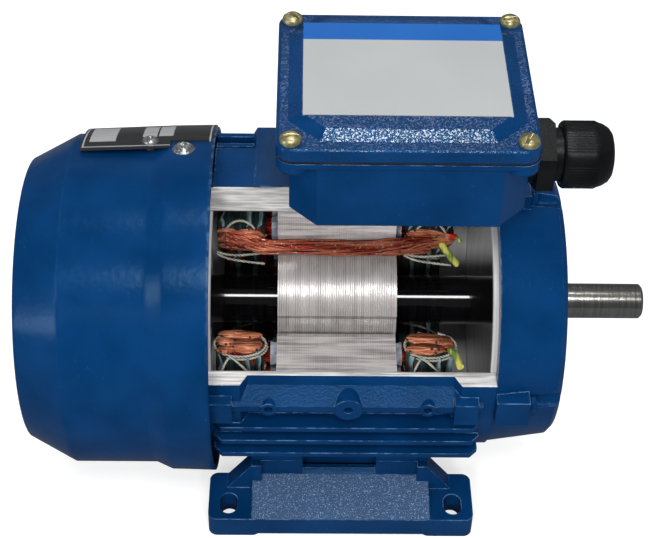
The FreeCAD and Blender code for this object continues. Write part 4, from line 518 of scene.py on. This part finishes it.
waxed = Finish("lacing_cord", Roughness=0.85)
ply = waxed.node("ShaderNodeTexWave", {"wave_type": "BANDS", "bands_direction": "DIAGONAL"},
                 {"Vector": waxed.place(), "Scale": 420, "Distortion": 1.5, "Detail": 2}, "Fac")
soil = waxed.noise(180, 3).rise(0.35, 0.75)
pale_share = 0.6 * ply + 0.4 * soil
waxed.set(Base_Color=waxed.blend(pale_share, colour(118, 118, 108), colour(206, 204, 190)))
waxed.relief(ply, 0.00025)

sleeve = Finish("earth_lead", Roughness=0.8)
weave = sleeve.noise(1500, 3, (1, 1, 0.6))
streak = sleeve.noise(520, 1, (1, 0.15, 0.15)).rise(0.44, 0.56)
sleeve.set(Base_Color=sleeve.blend(streak, sleeve.blend(weave, colour(64, 96, 36), colour(122, 150, 70)),
                                   sleeve.blend(weave, colour(170, 172, 66), colour(214, 210, 112))))
sleeve.relief(weave, 0.0003)
print("paper, cord and sleeves are soft and matt")

# %% [markdown]
# ## Rubbers and plastics
#
# Moulded parts differ in colour, gloss and grain. A second function makes them, with a little dust
# on each and most of it on rubber.

# %% Moulded finishes
def moulded(name, dark, bright, rough, grain, depth, dusting=0.15):
    """Plastic or rubber with mould grain and a little dust."""
    finish = Finish(name, Specular_IOR_Level=0.25)
    cloud = finish.noise(70, 3).rise(0.3, 0.7)
    grains = finish.noise(grain, 2)
    dust = finish.noise(1100, 2).rise(0.66, 0.8) * dusting
    base = finish.blend(cloud, colour(*dark), colour(*bright))
    finish.set(Base_Color=finish.blend(dust, base, colour(170, 170, 165)),
               Roughness=rough + 0.12 * grains + 0.2 * dust)
    finish.relief(grains, depth)
    return finish


MOULDED = {
    "black_lead": ((14, 14, 15), (30, 30, 32), 0.3, 800, 0.00005),
    "seal_rubber": ((18, 18, 18), (34, 34, 35), 0.55, 1400, 0.0001, 0.3),
    "gasket_rubber": ((14, 22, 34), (24, 34, 48), 0.6, 900, 0.0001, 0.1),
    "fan_plastic": ((24, 25, 27), (40, 41, 44), 0.4, 1200, 0.00006),
    "gland_plastic": ((8, 8, 9), (17, 18, 20), 0.3, 900, 0.00006, 0.05),
    "board_plastic": ((52, 28, 18), (84, 46, 30), 0.38, 1500, 0.0001, 0.1),
}
finishes.update({name: moulded(name, *numbers) for name, numbers in MOULDED.items()})
print(len(MOULDED), "moulded finishes")

# %% [markdown]
# ## Plate and label
#
# Both carry print on a real motor. Here they stay blank and keep only their fields: three bare
# fields and an edge line on the dark plate, and a blue band on the pale label.

# %% Fields on the plate and on the label
def field(first, second, low, high):
    """1 inside a rectangle on two signals, with a soft edge."""
    return (first.rise(low[0] - SKIM, low[0] + SKIM) * (1 - first.rise(high[0] - SKIM, high[0] + SKIM))
            * second.rise(low[1] - SKIM, low[1] + SKIM) * (1 - second.rise(high[1] - SKIM, high[1] + SKIM)))


plate = Finish("plate_dark", Coat_Weight=0.25, Coat_Roughness=0.12)
x, y, z = plate.axes()
brushed = plate.noise(1300, 3, (0.06, 1, 1))
fields = (field(x, y, (-0.1425, 0.0185), (-0.1325, 0.037))
          + field(x, y, (-0.1225, 0.0218), (-0.117, 0.0362))
          + field(x, y, (-0.1163, 0.0222), (-0.1108, 0.0366)))
line = (field(x, y, (-0.1448, 0.0138), (-0.0962, 0.0536))
        - field(x, y, (-0.1442, 0.0144), (-0.0968, 0.053)))
shine = fields.sum("MAXIMUM", line)
plate.set(
    Base_Color=plate.blend(shine, plate.blend(brushed, colour(38, 39, 42), colour(58, 59, 62)),
                           plate.blend(brushed, colour(150, 152, 154), colour(206, 207, 209))),
    Metallic=0.35, Roughness=0.3 + 0.15 * brushed)
plate.relief(0.3 * brushed + 0.7 * shine, 0.00004)

label = Finish("label_face", Coat_Weight=0.05, Coat_Roughness=0.2, Specular_IOR_Level=0.15)
x, y, z = label.axes()
grit = label.noise(1600, 2)
fade = label.noise(28, 2)
band = field(x, y, (-0.0616, 0.0206), (0.0106, 0.0312))
face = label.blend(fade, colour(150, 153, 154), colour(163, 165, 166))
head = label.blend(fade, colour(14, 78, 150), colour(26, 94, 168))
label.set(Base_Color=label.blend(band, face, head), Roughness=0.34 + 0.1 * grit)
label.relief(0.4 * grit + 0.6 * label.noise(60, 2), 0.00005)
print("plate and label are blank but for their fields")

# %% [markdown]
# ## Finishes onto the CAD parts
#
# The record names a material slot for every CAD part, and a table gives each slot its finish. A
# second table names the few parts whose finish differs from others of their slot.

# %% Dress every CAD part
finishes.update({
    "blue_casting": cast_enamel, "blue_sheet": sheet_enamel, "lamination_steel": laminations,
    "shaft_steel": bar, "copper": copper, "slot_paper": paper, "lacing_cord": waxed,
    "earth_lead": sleeve, "plate_dark": plate, "label_face": label,
})
own = {
    "motor_frame": frame_enamel, "stator_core": sawn_stack, "drive_endshield": shield_enamel,
    "rear_endshield": shield_enamel, "left_foot": foot_enamel, "right_foot": foot_enamel,
    "box_lid": lid_enamel,
}
slots = {entry["node"]: entry["material_slot"] for entry in frame["record"]["subparts"]}
for name, part in parts.items():
    part.data.materials.clear()
    part.data.materials.append(own.get(name, finishes[slots[name]]).material)
print(len(parts), "parts use", len(set(slots.values())), "slots")

# %% [markdown]
# ## New pieces
#
# Some CAD solids are only envelopes: a winding is one ring, a screw head has no slot. They stay in
# the model for collision, and a modelled piece takes their place in the picture. It is built as a
# bmesh in metres at its true place, and rides on the body that it moves with.

# %% Making a piece
def enrol(name, data, body, slot, replaced, finish):
    """Object that rides on a body, wears a finish and stands for the named parts."""
    made = bpy.data.objects.new(name, data)
    link(made)
    data.materials.append((finish or finishes[slot]).material)
    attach(made, body)
    if replaced:
        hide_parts(*replaced)
    return made


def weld(shape):
    bmesh.ops.remove_doubles(shape, verts=shape.verts, dist=1e-7)
    bmesh.ops.recalc_face_normals(shape, faces=shape.faces)


def piece(name, shape, body, slot, replaced=(), smooth=True, finish=None):
    """Object from a bmesh, which is used up."""
    weld(shape)
    for face in shape.faces:
        face.smooth = smooth
    return enrol(name, used_up(shape), body, slot, replaced, finish)


def used_up(shape):
    """Mesh of a bmesh, which is freed."""
    mesh = bpy.data.meshes.new("mesh")
    shape.to_mesh(mesh)
    shape.free()
    return mesh


def placed(shape, places, many=None):
    """Copies of a shape at each of the given matrices, in one bmesh."""
    many = many or bmesh.new()
    mesh = used_up(shape)
    for place in places:
        start = len(many.verts)
        many.from_mesh(mesh)
        many.verts.ensure_lookup_table()
        bmesh.ops.transform(many, matrix=place, verts=many.verts[start:])
    bpy.data.meshes.remove(mesh)
    return many


def chain(shape, points):
    """Vertices at the points, with an edge from each to the next."""
    corners = [shape.verts.new(point) for point in points]
    for pair in zip(corners, corners[1:]):
        shape.edges.new(pair)


def spin(shape, centre, axis, steps, angle=math.tau):
    bmesh.ops.spin(shape, geom=shape.verts[:] + shape.edges[:], cent=centre, axis=axis, angle=angle,
                   steps=steps, use_merge=angle == math.tau)


def turned(profile, steps=48):
    """Closed shape from (radius, height) points turned about Z."""
    shape = bmesh.new()
    chain(shape, [(radius, 0, height) for radius, height in profile])
    spin(shape, (0, 0, 0), (0, 0, 1), steps)
    weld(shape)
    return shape


def split(shape, point, normal, **options):
    """Cuts the faces of a shape along a plane."""
    return bmesh.ops.bisect_plane(shape, geom=shape.verts[:] + shape.edges[:] + shape.faces[:],
                                  plane_co=point, plane_no=normal, **options)


def turn_by(degrees, axis):
    return Matrix.Rotation(math.radians(degrees), 4, axis)


def about_shaft(degrees):
    """Turn about the shaft line; 0 is straight up and the near side is positive."""
    return Matrix.Translation((0, 0, SHAFT_Z)) @ turn_by(degrees, "X")


# %% [markdown]
# ## Screws
#
# A head is a turned profile with a drive cut into it, by a Boolean modifier and a small block. It is
# cut once per kind of head, and then copied to each place.

# %% Cutting a drive into a head
def block(width, depth, height, middle, corners=4):
    """Straight-sided cutter; four corners make a bar and six make a hexagon."""
    spread = 2 ** 0.5 if corners == 4 else 1
    size = Matrix.Diagonal((width * spread, depth * spread, height, 1))
    place = Matrix.Translation(middle) @ size @ turn_by(45 if corners == 4 else 0, "Z")
    shape = bmesh.new()
    bmesh.ops.create_cone(shape, cap_ends=True, segments=corners, radius1=0.5, radius2=0.5, depth=1,
                          matrix=place)
    return shape


def carved(shape, cutters):
    """The shape with every cutter taken away."""
    for cutter in cutters:
        kept, tool = (bpy.data.objects.new("carving", used_up(source)) for source in (shape, cutter))
        link(kept)
        link(tool)
        cut = kept.modifiers.new("cut", "BOOLEAN")
        cut.operation, cut.solver, cut.object = "DIFFERENCE", "EXACT", tool
        graph = bpy.context.evaluated_depsgraph_get()
        shape = bmesh.new()
        shape.from_mesh(bpy.data.meshes.new_from_object(kept.evaluated_get(graph)))
        for spent in (kept, tool):
            bpy.data.objects.remove(spent)
    return shape


print("a hexagonal cutter has", len(block(1, 1, 1, (0, 0, 0), 6).faces), "faces")

# %% Lid screws with a slot
LID_SCREWS = [(0.0147, 0.035), (0.0147, -0.035), (-0.0654, 0.035), (-0.0654, -0.035)]
SLOT_TURNS = (20, 65, -35, 10)
dome = [(0, 0), (0.0019, 0), (0.0019, 0.01), (0.0036, 0.01), (0.0038, 0.0102), (0.0038, 0.011),
        (0.0035, 0.0118), (0.0028, 0.0124), (0.0018, 0.0128), (0.0009, 0.01295), (0, 0.013)]
slotted = carved(turned(dome), [block(0.006, 0.0011, 0.003, (0, 0, 0.0129))])
places = [Matrix.Translation((x, y, 0.1704)) @ turn_by(turn, "Z")
          for (x, y), turn in zip(LID_SCREWS, SLOT_TURNS)]
lid_screws = piece("lid_screw_heads", placed(slotted, places), "lid", "yellow_zinc", ["lid_screws"])
print("four lid screws,", len(lid_screws.data.polygons), "faces")

# %% Cowl screws with a crossed recess
COWL_SCREWS = (-10.3, -100.3, -190.3)
pan = [(0, 0.059), (0.0019, 0.059), (0.0019, 0.0676), (0.0043, 0.0676), (0.0044, 0.068),
       (0.0041, 0.0684), (0.0036, 0.0685), (0.0034, 0.069), (0.0029, 0.0696), (0.002, 0.07),
       (0.001, 0.0702), (0, 0.07025)]
crossed = carved(turned(pan), [block(0.0046, 0.0009, 0.0026, (0, 0, 0.0702)),
                               block(0.0009, 0.0046, 0.0026, (0, 0, 0.0702))])
places = [about_shaft(angle) @ Matrix.Translation((-0.1061, 0, 0)) @ turn_by(25 + angle, "Z")
          for angle in COWL_SCREWS]
cowl_screws = piece("cowl_screw_heads", placed(crossed, places), "motor", "zinc_steel", ["cowl_screws"])
print("three cowl screws,", len(cowl_screws.data.polygons), "faces")

# %% [markdown]
# The end shields are held by socket screws that wear the motor's enamel. The same shape is turned
# one way for the drive end and the other way for the fan end.

# %% Shield bolts with a hexagon socket
cap = [(0, -0.0225), (0.002, -0.0225), (0.002, 0), (0.0035, 0), (0.0035, 0.0024), (0.0033, 0.0028),
       (0.0028, 0.003), (0, 0.003)]
for end, seat, turn in (("drive", 0.0241, 90), ("rear", -0.105, -90)):
    socket = carved(turned(cap, 32), [block(0.0036, 0.0036, 0.0036, (0, 0, 0.003), 6)])
    shank = split(socket, (0, 0, -0.018), (0, 0, -1), clear_outer=end == "rear")["geom_cut"]
    if end == "rear":
        loops = [part for part in shank if isinstance(part, bmesh.types.BMEdge)]
        bmesh.ops.holes_fill(socket, edges=loops)
    places = [about_shaft(angle) @ Matrix.Translation((seat, 0, 0.0545)) @ turn_by(turn, "Y")
              for angle in (0, 90, 180, 270)]
    piece(f"{end}_shield_bolt_heads", placed(socket, places), "motor", "blue_casting",
          [f"{end}_endshield_bolts"])
print("eight shield bolts")

# %% [markdown]
# A blind rivet keeps the hollow where its pin snapped off. The profile goes over the dome and down
# into the hollow.

# %% Hollow rivet
hollow = [(0, 0.0636), (0.0016, 0.0636), (0.0016, 0.0681), (0.0031, 0.0681), (0.0032, 0.0685),
          (0.003, 0.0691), (0.0024, 0.0697), (0.0017, 0.07), (0.0012, 0.0699), (0.001, 0.0694),
          (0.001, 0.0685), (0, 0.0685)]
place = about_shaft(-14.8) @ Matrix.Translation((-0.1191, 0, 0))
piece("hollow_rivet", placed(turned(hollow, 32), [place]), "motor", "zinc_steel", ["nameplate_rivet"])
print("rivet,", round(2000 * max(radius for radius, height in hollow), 1), "mm across")

# %% [markdown]
# ## End windings
#
# The coils turn round the bore in thick bundles, and the section cuts through them. One round ring
# would look like a tyre, so each end winding is made of four lobes that lie against each other. A
# lobe is an oval spun about the shaft line, whose points then drift a little. The window's two
# planes cut it, the faces between them go, and the holes are filled, which gives the sawn faces.

# %% Lobes of the end windings
MEAN_REACH = 0.0355


def in_window(point):
    return point.y < SAWN_Y and point.z > SAWN_Z


def outward(point):
    """Direction from the shaft line to a point."""
    return Vector((0, point.y, point.z - SHAFT_Z)).normalized()


def lobe(shape, sink, along, reach, half_along, half_reach, lean, drift):
    """Adds one spun oval, sunk a hair under the cut; sizes in metres, lean in degrees."""
    oval = bmesh.new()
    place = (Matrix.Translation((along, 0, SHAFT_Z + reach)) @ turn_by(90, "X") @ turn_by(lean, "Z")
             @ Matrix.Diagonal((half_along, half_reach, 1, 1)))
    bmesh.ops.create_circle(oval, segments=22, radius=1, matrix=place)
    spin(oval, (0, 0, SHAFT_Z), (1, 0, 0), 150)
    bmesh.ops.remove_doubles(oval, verts=oval.verts, dist=1e-6)
    for point in oval.verts:
        slow = noise.noise_vector(point.co * 70 + Vector((drift, 0, 0)))
        quick = noise.noise(point.co * 420 + Vector((0, drift, 0)))
        swell = 0.0006 * slow.y + 0.00025 * quick
        point.co += Vector((0.0007 * slow.x, 0, 0)) + outward(point.co) * swell
    back = Vector((0, sink, -sink))
    for facing in ((0, 1, 0), (0, 0, 1)):
        split(oval, Vector((0, SAWN_Y, SAWN_Z)) + back, facing)
    gone = [face for face in oval.faces if in_window(face.calc_center_median() - back)]
    bmesh.ops.delete(oval, geom=gone, context="FACES")
    bmesh.ops.holes_fill(oval, edges=[edge for edge in oval.edges if edge.is_boundary])
    placed(oval, [Matrix()], shape)


LOBES = {
    "rear": [(-0.0848, 0.0319, 0.0083, 0.0021, 2, 1.0), (-0.0817, 0.0371, 0.0059, 0.0039, -6, 5.0),
             (-0.0902, 0.0352, 0.0036, 0.0022, 12, 9.0), (-0.0898, 0.0392, 0.0038, 0.002, -4, 13.0)],
    "drive": [(-0.0138, 0.0384, 0.0076, 0.0029, -3, 17.0), (-0.0144, 0.0333, 0.007, 0.003, 3, 21.0),
              (-0.0068, 0.0355, 0.0036, 0.004, 0, 25.0), (-0.01, 0.036, 0.0036, 0.0034, 20, 31.0)],
}
for end, lobes in LOBES.items():
    shape = bmesh.new()
    for order, sizes in enumerate(lobes):
        lobe(shape, 0.00003 * order, *sizes)
    made = piece(f"{end}_winding_lobes", shape, "motor", "copper", [f"{end}_end_winding"])
    print(end, "winding:", len(lobes), "lobes,", len(made.data.polygons), "faces")

# %% [markdown]
# ## Wires
#
# Loose turns show at the surface of each bundle. A wire is a curve with a round bevel, and a helper
# turns lists of points into one curve object.

# %% Wire helper
def wires(name, routes, radius, slot, replaced=(), finish=None, smooth=1):
    """Round wires along NURBS routes, as one piece of the motor."""
    line = bpy.data.curves.new(name, "CURVE")
    line.dimensions = "3D"
    line.bevel_depth = radius
    line.bevel_resolution = smooth
    line.resolution_u = 2 * smooth + 1
    line.use_fill_caps = True
    for route in routes:
        spline = line.splines.new("NURBS")
        spline.points.add(len(route) - 1)
        for point, place in zip(spline.points, route):
            point.co = (*place, 1)
        spline.order_u = 3
        spline.use_endpoint_u = True
    return enrol(name, line, "motor", slot, replaced, finish)


def ring_place(along, reach, angle):
    """Point at a distance along and out from the shaft line, at an angle in radians."""
    return Vector((along, -reach * math.sin(angle), SHAFT_Z + reach * math.cos(angle)))


def window_ends(reach):
    """Angles at which a ring of this reach meets the two sawn planes."""
    return math.acos((SAWN_Z - SHAFT_Z) / reach), math.tau + math.asin(-SAWN_Y / reach)


# %% Loose turns on the bundles
GOLDEN_ANGLE = 2.39996


def loose_turns(lobes, count):
    """Wires that lie on the lobes and cross over them slowly."""
    routes = []
    for number in range(count):
        along, reach, half_along, half_reach, lean, drift = lobes[number % len(lobes)]
        start, end = window_ends(reach)
        twist = 0.8 * math.sin(3 * number)
        route = []
        for step in range(61):
            angle = start + (end - start) * step / 60
            turn = GOLDEN_ANGLE * number + twist * angle + 0.25 * math.sin(5 * angle + number)
            route.append(ring_place(along + half_along * math.cos(turn),
                                    reach + half_reach * math.sin(turn), angle))
        routes.append(route)
    return routes


for end, lobes in LOBES.items():
    wires(f"{end}_loose_turns", loose_turns(lobes, 26), 0.00042, "copper")
print("26 loose turns on each end winding")

# %% [markdown]
# The coils run through the slots as hundreds of coated wires. Little of each shows, so a wire is
# a six-sided rod. Past the core its points spread a little, since nothing holds them there.

# %% Wires in the slots
CORE_REAR, CORE_FRONT = -0.0706, -0.0254
COIL_REAR, COIL_FRONT = -0.0754, -0.0214
rod = placed(block(0.00092, 0.00092, COIL_FRONT - COIL_REAR, (0, 0, 0), 6),
             [Matrix.Translation(((COIL_REAR + COIL_FRONT) / 2, 0, 0)) @ turn_by(90, "Y")])
for place in (CORE_REAR - 0.0006, CORE_FRONT + 0.0006):
    split(rod, (place, 0, 0), (1, 0, 0))
slot_angles = [7.5 + 15 * step for step in range(24)]
wound = [angle for angle in slot_angles if not 7 < angle < 72]
places = [about_shaft(angle) @ Matrix.Translation((0, across, reach))
          for angle in wound for across in (-0.00142, -0.00047, 0.00047, 0.00142)
          for reach in (0.0325, 0.0335, 0.0345, 0.0355, 0.0365, 0.0375)]
bundle = placed(rod, places)
for point in bundle.verts:
    if point.co.x < CORE_REAR - 0.002 or point.co.x > CORE_FRONT + 0.002:
        point.co += 0.0004 * noise.noise_vector(point.co * 900)
slot_wires = piece("slot_wires", bundle, "motor", "copper", ["slot_coils"], finish=coated)
print(len(wound), "slots,", len(places), "wires,", len(slot_wires.data.polygons), "faces")

# %% [markdown]
# Each slot is lined with folded film, so the wires never touch the iron. A liner is a bent strip,
# open to the bore and drawn out along the slot. It stands out past the core as a small cuff, which
# is widened a little. The saw took the liner at the bare coil.

# %% Slot liners
def thicken(made, thickness, offset=-1):
    """Gives a sheet its thickness, all on its inner side, or half on each with an offset of 0."""
    sheet = made.modifiers.new("thickness", "SOLIDIFY")
    sheet.thickness, sheet.offset = thickness, offset


channel = bmesh.new()
chain(channel, [(CORE_REAR - 0.0025, across, reach) for across, reach in (
    (0.0019, 0.0306), (0.0019, 0.0383), (-0.0019, 0.0383), (-0.0019, 0.0306))])
for length in (0.0021, CORE_FRONT - CORE_REAR + 0.0008, 0.0021):
    front = max(point.co.x for point in channel.verts)
    open_edges = [edge for edge in channel.edges
                  if all(abs(point.co.x - front) < 1e-6 for point in edge.verts)]
    drawn = bmesh.ops.extrude_edge_only(channel, edges=open_edges)["geom"]
    bmesh.ops.translate(channel, vec=(length, 0, 0),
                        verts=[part for part in drawn if isinstance(part, bmesh.types.BMVert)])
for point in channel.verts:
    if not CORE_REAR - 0.001 < point.co.x < CORE_FRONT + 0.001:
        point.co.y *= 1.22
        point.co.z += 0.0002 if point.co.z > 0.035 else -0.0004
liners = placed(channel, [about_shaft(angle) for angle in wound])
thicken(piece("liner_films", liners, "motor", "slot_paper", ["slot_liners"], False, film), 0.0003, 0)
print(len(wound), "liners")

# %% [markdown]
# One slot lies just where the section passes, so its coil is bare from end to end. Each wire keeps
# its own place in the bundle's oval section, and that place turns slowly along the bundle's middle
# line, so the bundle looks twisted.

# %% The bare coil
SPINE = [(-0.0905, -0.0046, 0.1078), (-0.085, -0.005, 0.1072), (-0.08, -0.0054, 0.1058),
         (-0.074, -0.0056, 0.1047), (-0.065, -0.0056, 0.1046), (-0.048, -0.0057, 0.1046),
         (-0.032, -0.0056, 0.1046), (-0.024, -0.0056, 0.1048), (-0.018, -0.0052, 0.1056),
         (-0.012, -0.0046, 0.1064)]
routes = []
for number in range(44):
    share = math.sqrt((number + 0.5) / 44)
    first = GOLDEN_ANGLE * number
    route = []
    for step in range(28):
        place = step / 27 * (len(SPINE) - 1)
        low = min(int(place), len(SPINE) - 2)
        middle = Vector(SPINE[low]).lerp(Vector(SPINE[low + 1]), place - low)
        turn = first + 1.3 * math.sin(0.19 * step + 0.6 * math.sin(number)) + 0.05 * step
        pinch = 1 - 0.25 * math.sin(math.pi * step / 27)
        sway = 0.00022 * math.sin(0.9 * step + 1.7 * number)
        route.append(middle + Vector((0, 0.0021 * share * math.cos(turn) + sway,
                                      0.0042 * pinch * share * math.sin(turn) + sway)))
    routes.append(route)
wires("bare_coil", routes, 0.00048, "copper", ["exposed_coil"], finish=bare_wire)
print("bare coil:", len(routes), "wires")

# %% [markdown]
# Above the bare coil the saw left a thin tongue of the sheets. It fills the top of the open slot,
# and is a bar with bevelled edges.

# %% Tongue of the core
middle = ((CORE_REAR + CORE_FRONT) / 2, SAWN_Y + 0.00082, 0.1081)
tongue = block(CORE_FRONT - CORE_REAR, 0.0016, 0.003, middle)
bmesh.ops.bevel(tongue, geom=tongue.edges[:], offset=0.0002, segments=2, profile=0.5, affect="EDGES",
                material=-1)
piece("core_tongue", tongue, "motor", "lamination_steel", finish=sawn_stack)
print("tongue", round(1000 * (CORE_FRONT - CORE_REAR), 1), "mm long")

# %% [markdown]
# ## Lacing
#
# A waxed cord is wound round each end winding, about once for every two slots. A few more turns are
# tied near the sawn faces, where they hug the lobes and their ends hang free.

# %% Cord round the end windings
MIDDLES = {"rear": -0.0846, "drive": -0.0122}


def from_point(x, y, z, *offsets):
    """Route through the points that lie at the offsets from one point."""
    return [Vector((x, y, z)) + Vector(offset) for offset in offsets]


for end, middle in MIDDLES.items():
    core_side = 1 if end == "rear" else -1
    spiral = []
    for step in range(112):
        angle = 81 + 2.5 * step
        turn = math.radians(12 * (angle - 90))
        spiral.append(ring_place(middle + core_side * 0.0098 * math.cos(turn),
                                 MEAN_REACH + 0.0064 * math.sin(turn), math.radians(angle)))
    hoops = []
    for drop, shift in ((0.0007, 0), (0.0022, 0.0004)):
        turns = [math.radians(-70 + 13.5 * step) for step in range(25)]
        hoops.append(from_point(middle + shift, -0.0346, SAWN_Z - drop, *(
            (0.0099 * math.cos(turn), -0.0066 * math.sin(turn), 0) for turn in turns)))
    knot = (middle - 0.0035, -0.0414, SAWN_Z - 0.0006)
    tails = [
        from_point(*knot, (0, 0, 0), (-0.0012, -0.0018, 0.0004), (-0.0032, -0.0046, -0.003),
                   (-0.0042, -0.0056, -0.0072)),
        from_point(*knot, (0, 0, 0), (0.0016, -0.0014, 0.0002), (0.006, -0.003, -0.004),
                   (0.0095, -0.004, -0.008)),
    ]
    upright_face = [
        from_point(middle, -0.0036, 0.0998, (-0.0096, 0, 0), (-0.006, -0.0006, -0.0012),
                   (0.001, -0.001, -0.0008), (0.0092, -0.0004, 0)),
        from_point(middle, -0.0036, 0.099, (-0.0098, 0, 0), (-0.007, -0.0008, -0.0018),
                   (0.001, -0.001, -0.0034), (0.0088, -0.0002, -0.0052)),
        from_point(middle, -0.003, 0.105, (-0.0072, 0, 0.002), (-0.006, 0, 0.0062),
                   (-0.003, 0, 0.01), (0.0004, 0, 0.0108), (0.0036, 0, 0.009),
                   (0.006, 0, 0.005), (0.0074, 0, 0)),
    ]
    wires(f"{end}_cord", [spiral, *hoops, *tails, *upright_face], 0.00048, "lacing_cord",
          [f"{end}_lacing"])
print("two end windings are laced")

# %% [markdown]
# ## Phase paper
#
# Sheets of pressed paper keep the phases apart, and stand out beyond the bundles as wavy collars. A
# strip is spun round the shaft line beside each winding, and its points are moved to make waves.

# %% Paper collars
COLLARS = [(-0.004, 0.0286, 0.03), (0.0018, 0.0405, 0.0434), (0.0062, 0.0392, 0.0426),
           (-0.0086, 0.0385, 0.0422), (0.003, 0.028, 0.0302)]
AXIS = (0, 0, SHAFT_Z)
for end, middle in MIDDLES.items():
    collars = bmesh.new()
    for offset, low, high in COLLARS:
        strip = bmesh.new()
        chain(strip, [(middle + offset + lean, 0, SHAFT_Z + reach)
                      for lean, reach in ((0, low), (0.0006, (low + high) / 2), (0.0016, high))])
        start, stop = window_ends(high + 0.001)
        bmesh.ops.rotate(strip, verts=strip.verts, cent=AXIS, matrix=Matrix.Rotation(start + 0.01, 3, "X"))
        spin(strip, AXIS, (1, 0, 0), 110, stop - start - 0.03)
        placed(strip, [Matrix()], collars)
    for point in collars.verts:
        wave = noise.noise(point.co * 240 + Vector((11, 0, 0)))
        swell = 0.0006 * noise.noise(point.co * 130)
        point.co += Vector((0.0011 * wave, 0, 0)) + outward(point.co) * swell
    thicken(piece(f"{end}_phase_paper", collars, "motor", "slot_paper"), 0.00035)
print("paper collars on both windings")

# %% [markdown]
# ## Gland cap
#
# The gland's cap has groups of fine ribs between plain bulges, so that it can be gripped. It is a
# turned profile with many steps, and each point on the grip moves out or in by its angle.

# %% Gland cap with ribs
GLAND = (0, -0.0164, 0.1605)
nose = [(0.005, 0.0479), (0.0064, 0.0479), (0.0082, 0.0474), (0.0098, 0.0462), (0.011, 0.0442),
        (0.0116, 0.0424), (0.0117, 0.0421), (0.0119, 0.0416), (0.0119, 0.04), (0.0119, 0.037),
        (0.0119, 0.034), (0.0119, 0.0306), (0.0117, 0.03), (0.0113, 0.0296), (0.0098, 0.0296),
        (0.0098, 0.039), (0.0085, 0.04), (0.0056, 0.041), (0.005, 0.042)]
cap = turned([*nose, nose[0]], 288)
for point in cap.verts:
    reach = math.hypot(point.co.x, point.co.y)
    if reach > 0.0116 and 0.03 <= point.co.z <= 0.0417:
        angle = math.atan2(point.co.y, point.co.x)
        bulge = math.cos(6 * angle)
        rib = 0.00016 * math.cos(72 * angle) if bulge < 0.35 else 0
        point.co.xy *= 1 + (rib + 0.00022 * max(bulge, 0)) / reach
cap = placed(cap, [Matrix.Translation(GLAND) @ turn_by(90, "Y")])
gland_cap = piece("ribbed_gland_cap", cap, "gland_nut", "gland_plastic", ["gland_cap"])
print("gland cap,", len(gland_cap.data.polygons), "faces")

# %% [markdown]
# ## Leads
#
# Three leads carry the phases from the drive-end winding to the terminal board. The cut end of a
# probe lead shows at the winding.

# %% Leads to the terminal board
LEAD_DIAMETER = 0.0028
WINDING_Z, LUG_Z = 0.1065, 0.1567
DROP_Y, LUG_Y = 0.002, -0.0058
LEADS = [("lead_u", -0.0165, 0.016, 0.1625, -0.053, 0.0989),
         ("lead_v", -0.012, 0.01825, 0.1659, -0.043, 0.1014),
         ("lead_w", -0.0075, 0.016, 0.1693, -0.033, 0.1027)]
for name, x, y, height, stud, length in LEADS:
    risen, corner = Vector((x, y, height)), Vector((stud, DROP_Y, height))
    before = corner + (risen - corner).normalized() * (height - LUG_Z)
    route = [Vector((x, y, WINDING_Z)), risen, before, corner, Vector((stud, DROP_Y, LUG_Z)),
             Vector((stud, LUG_Y, LUG_Z))]
    lead = wires(name, [route], LEAD_DIAMETER / 2, "black_lead", ["motor_leads"], smooth=4)
    print(name, round(1000 * length, 1), "mm")

# %% Red lead tip
TIP_RADIUS = 0.0011
red_lead = moulded("red_lead", (150, 22, 20), (206, 44, 34), 0.3, 900, 0.00005)
tip = from_point(-0.0024, -0.0046, 0.1094, (-0.0026, 0.0026, -0.0012), (-0.0012, 0.0008, -0.0004),
                 (0, 0, 0))
core = from_point(*tip[-1], (-0.0003, 0, 0), (0.001, -0.0006, -0.0006), (0.0018, -0.0008, -0.0016))
wires("lead_tip", [tip], TIP_RADIUS, "seal_rubber", finish=red_lead)
wires("lead_tip_core", [core], 0.0007, "earth_lead")
print("lead tip", 2000 * TIP_RADIUS, "mm thick")

# %% [markdown]
# ## Size
#
# The box that the CAD parts fill, taken at the start, and the box of all that is shown now are
# kept side by side, and the second is printed. Nothing that was added may make the motor bigger
# than its CAD parts.

# %% The two boxes
sizes = {"cad": [list(corner) for corner in cad_bounds], "visual": [list(corner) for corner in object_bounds()]}
print("visual box in metres", sizes["visual"])
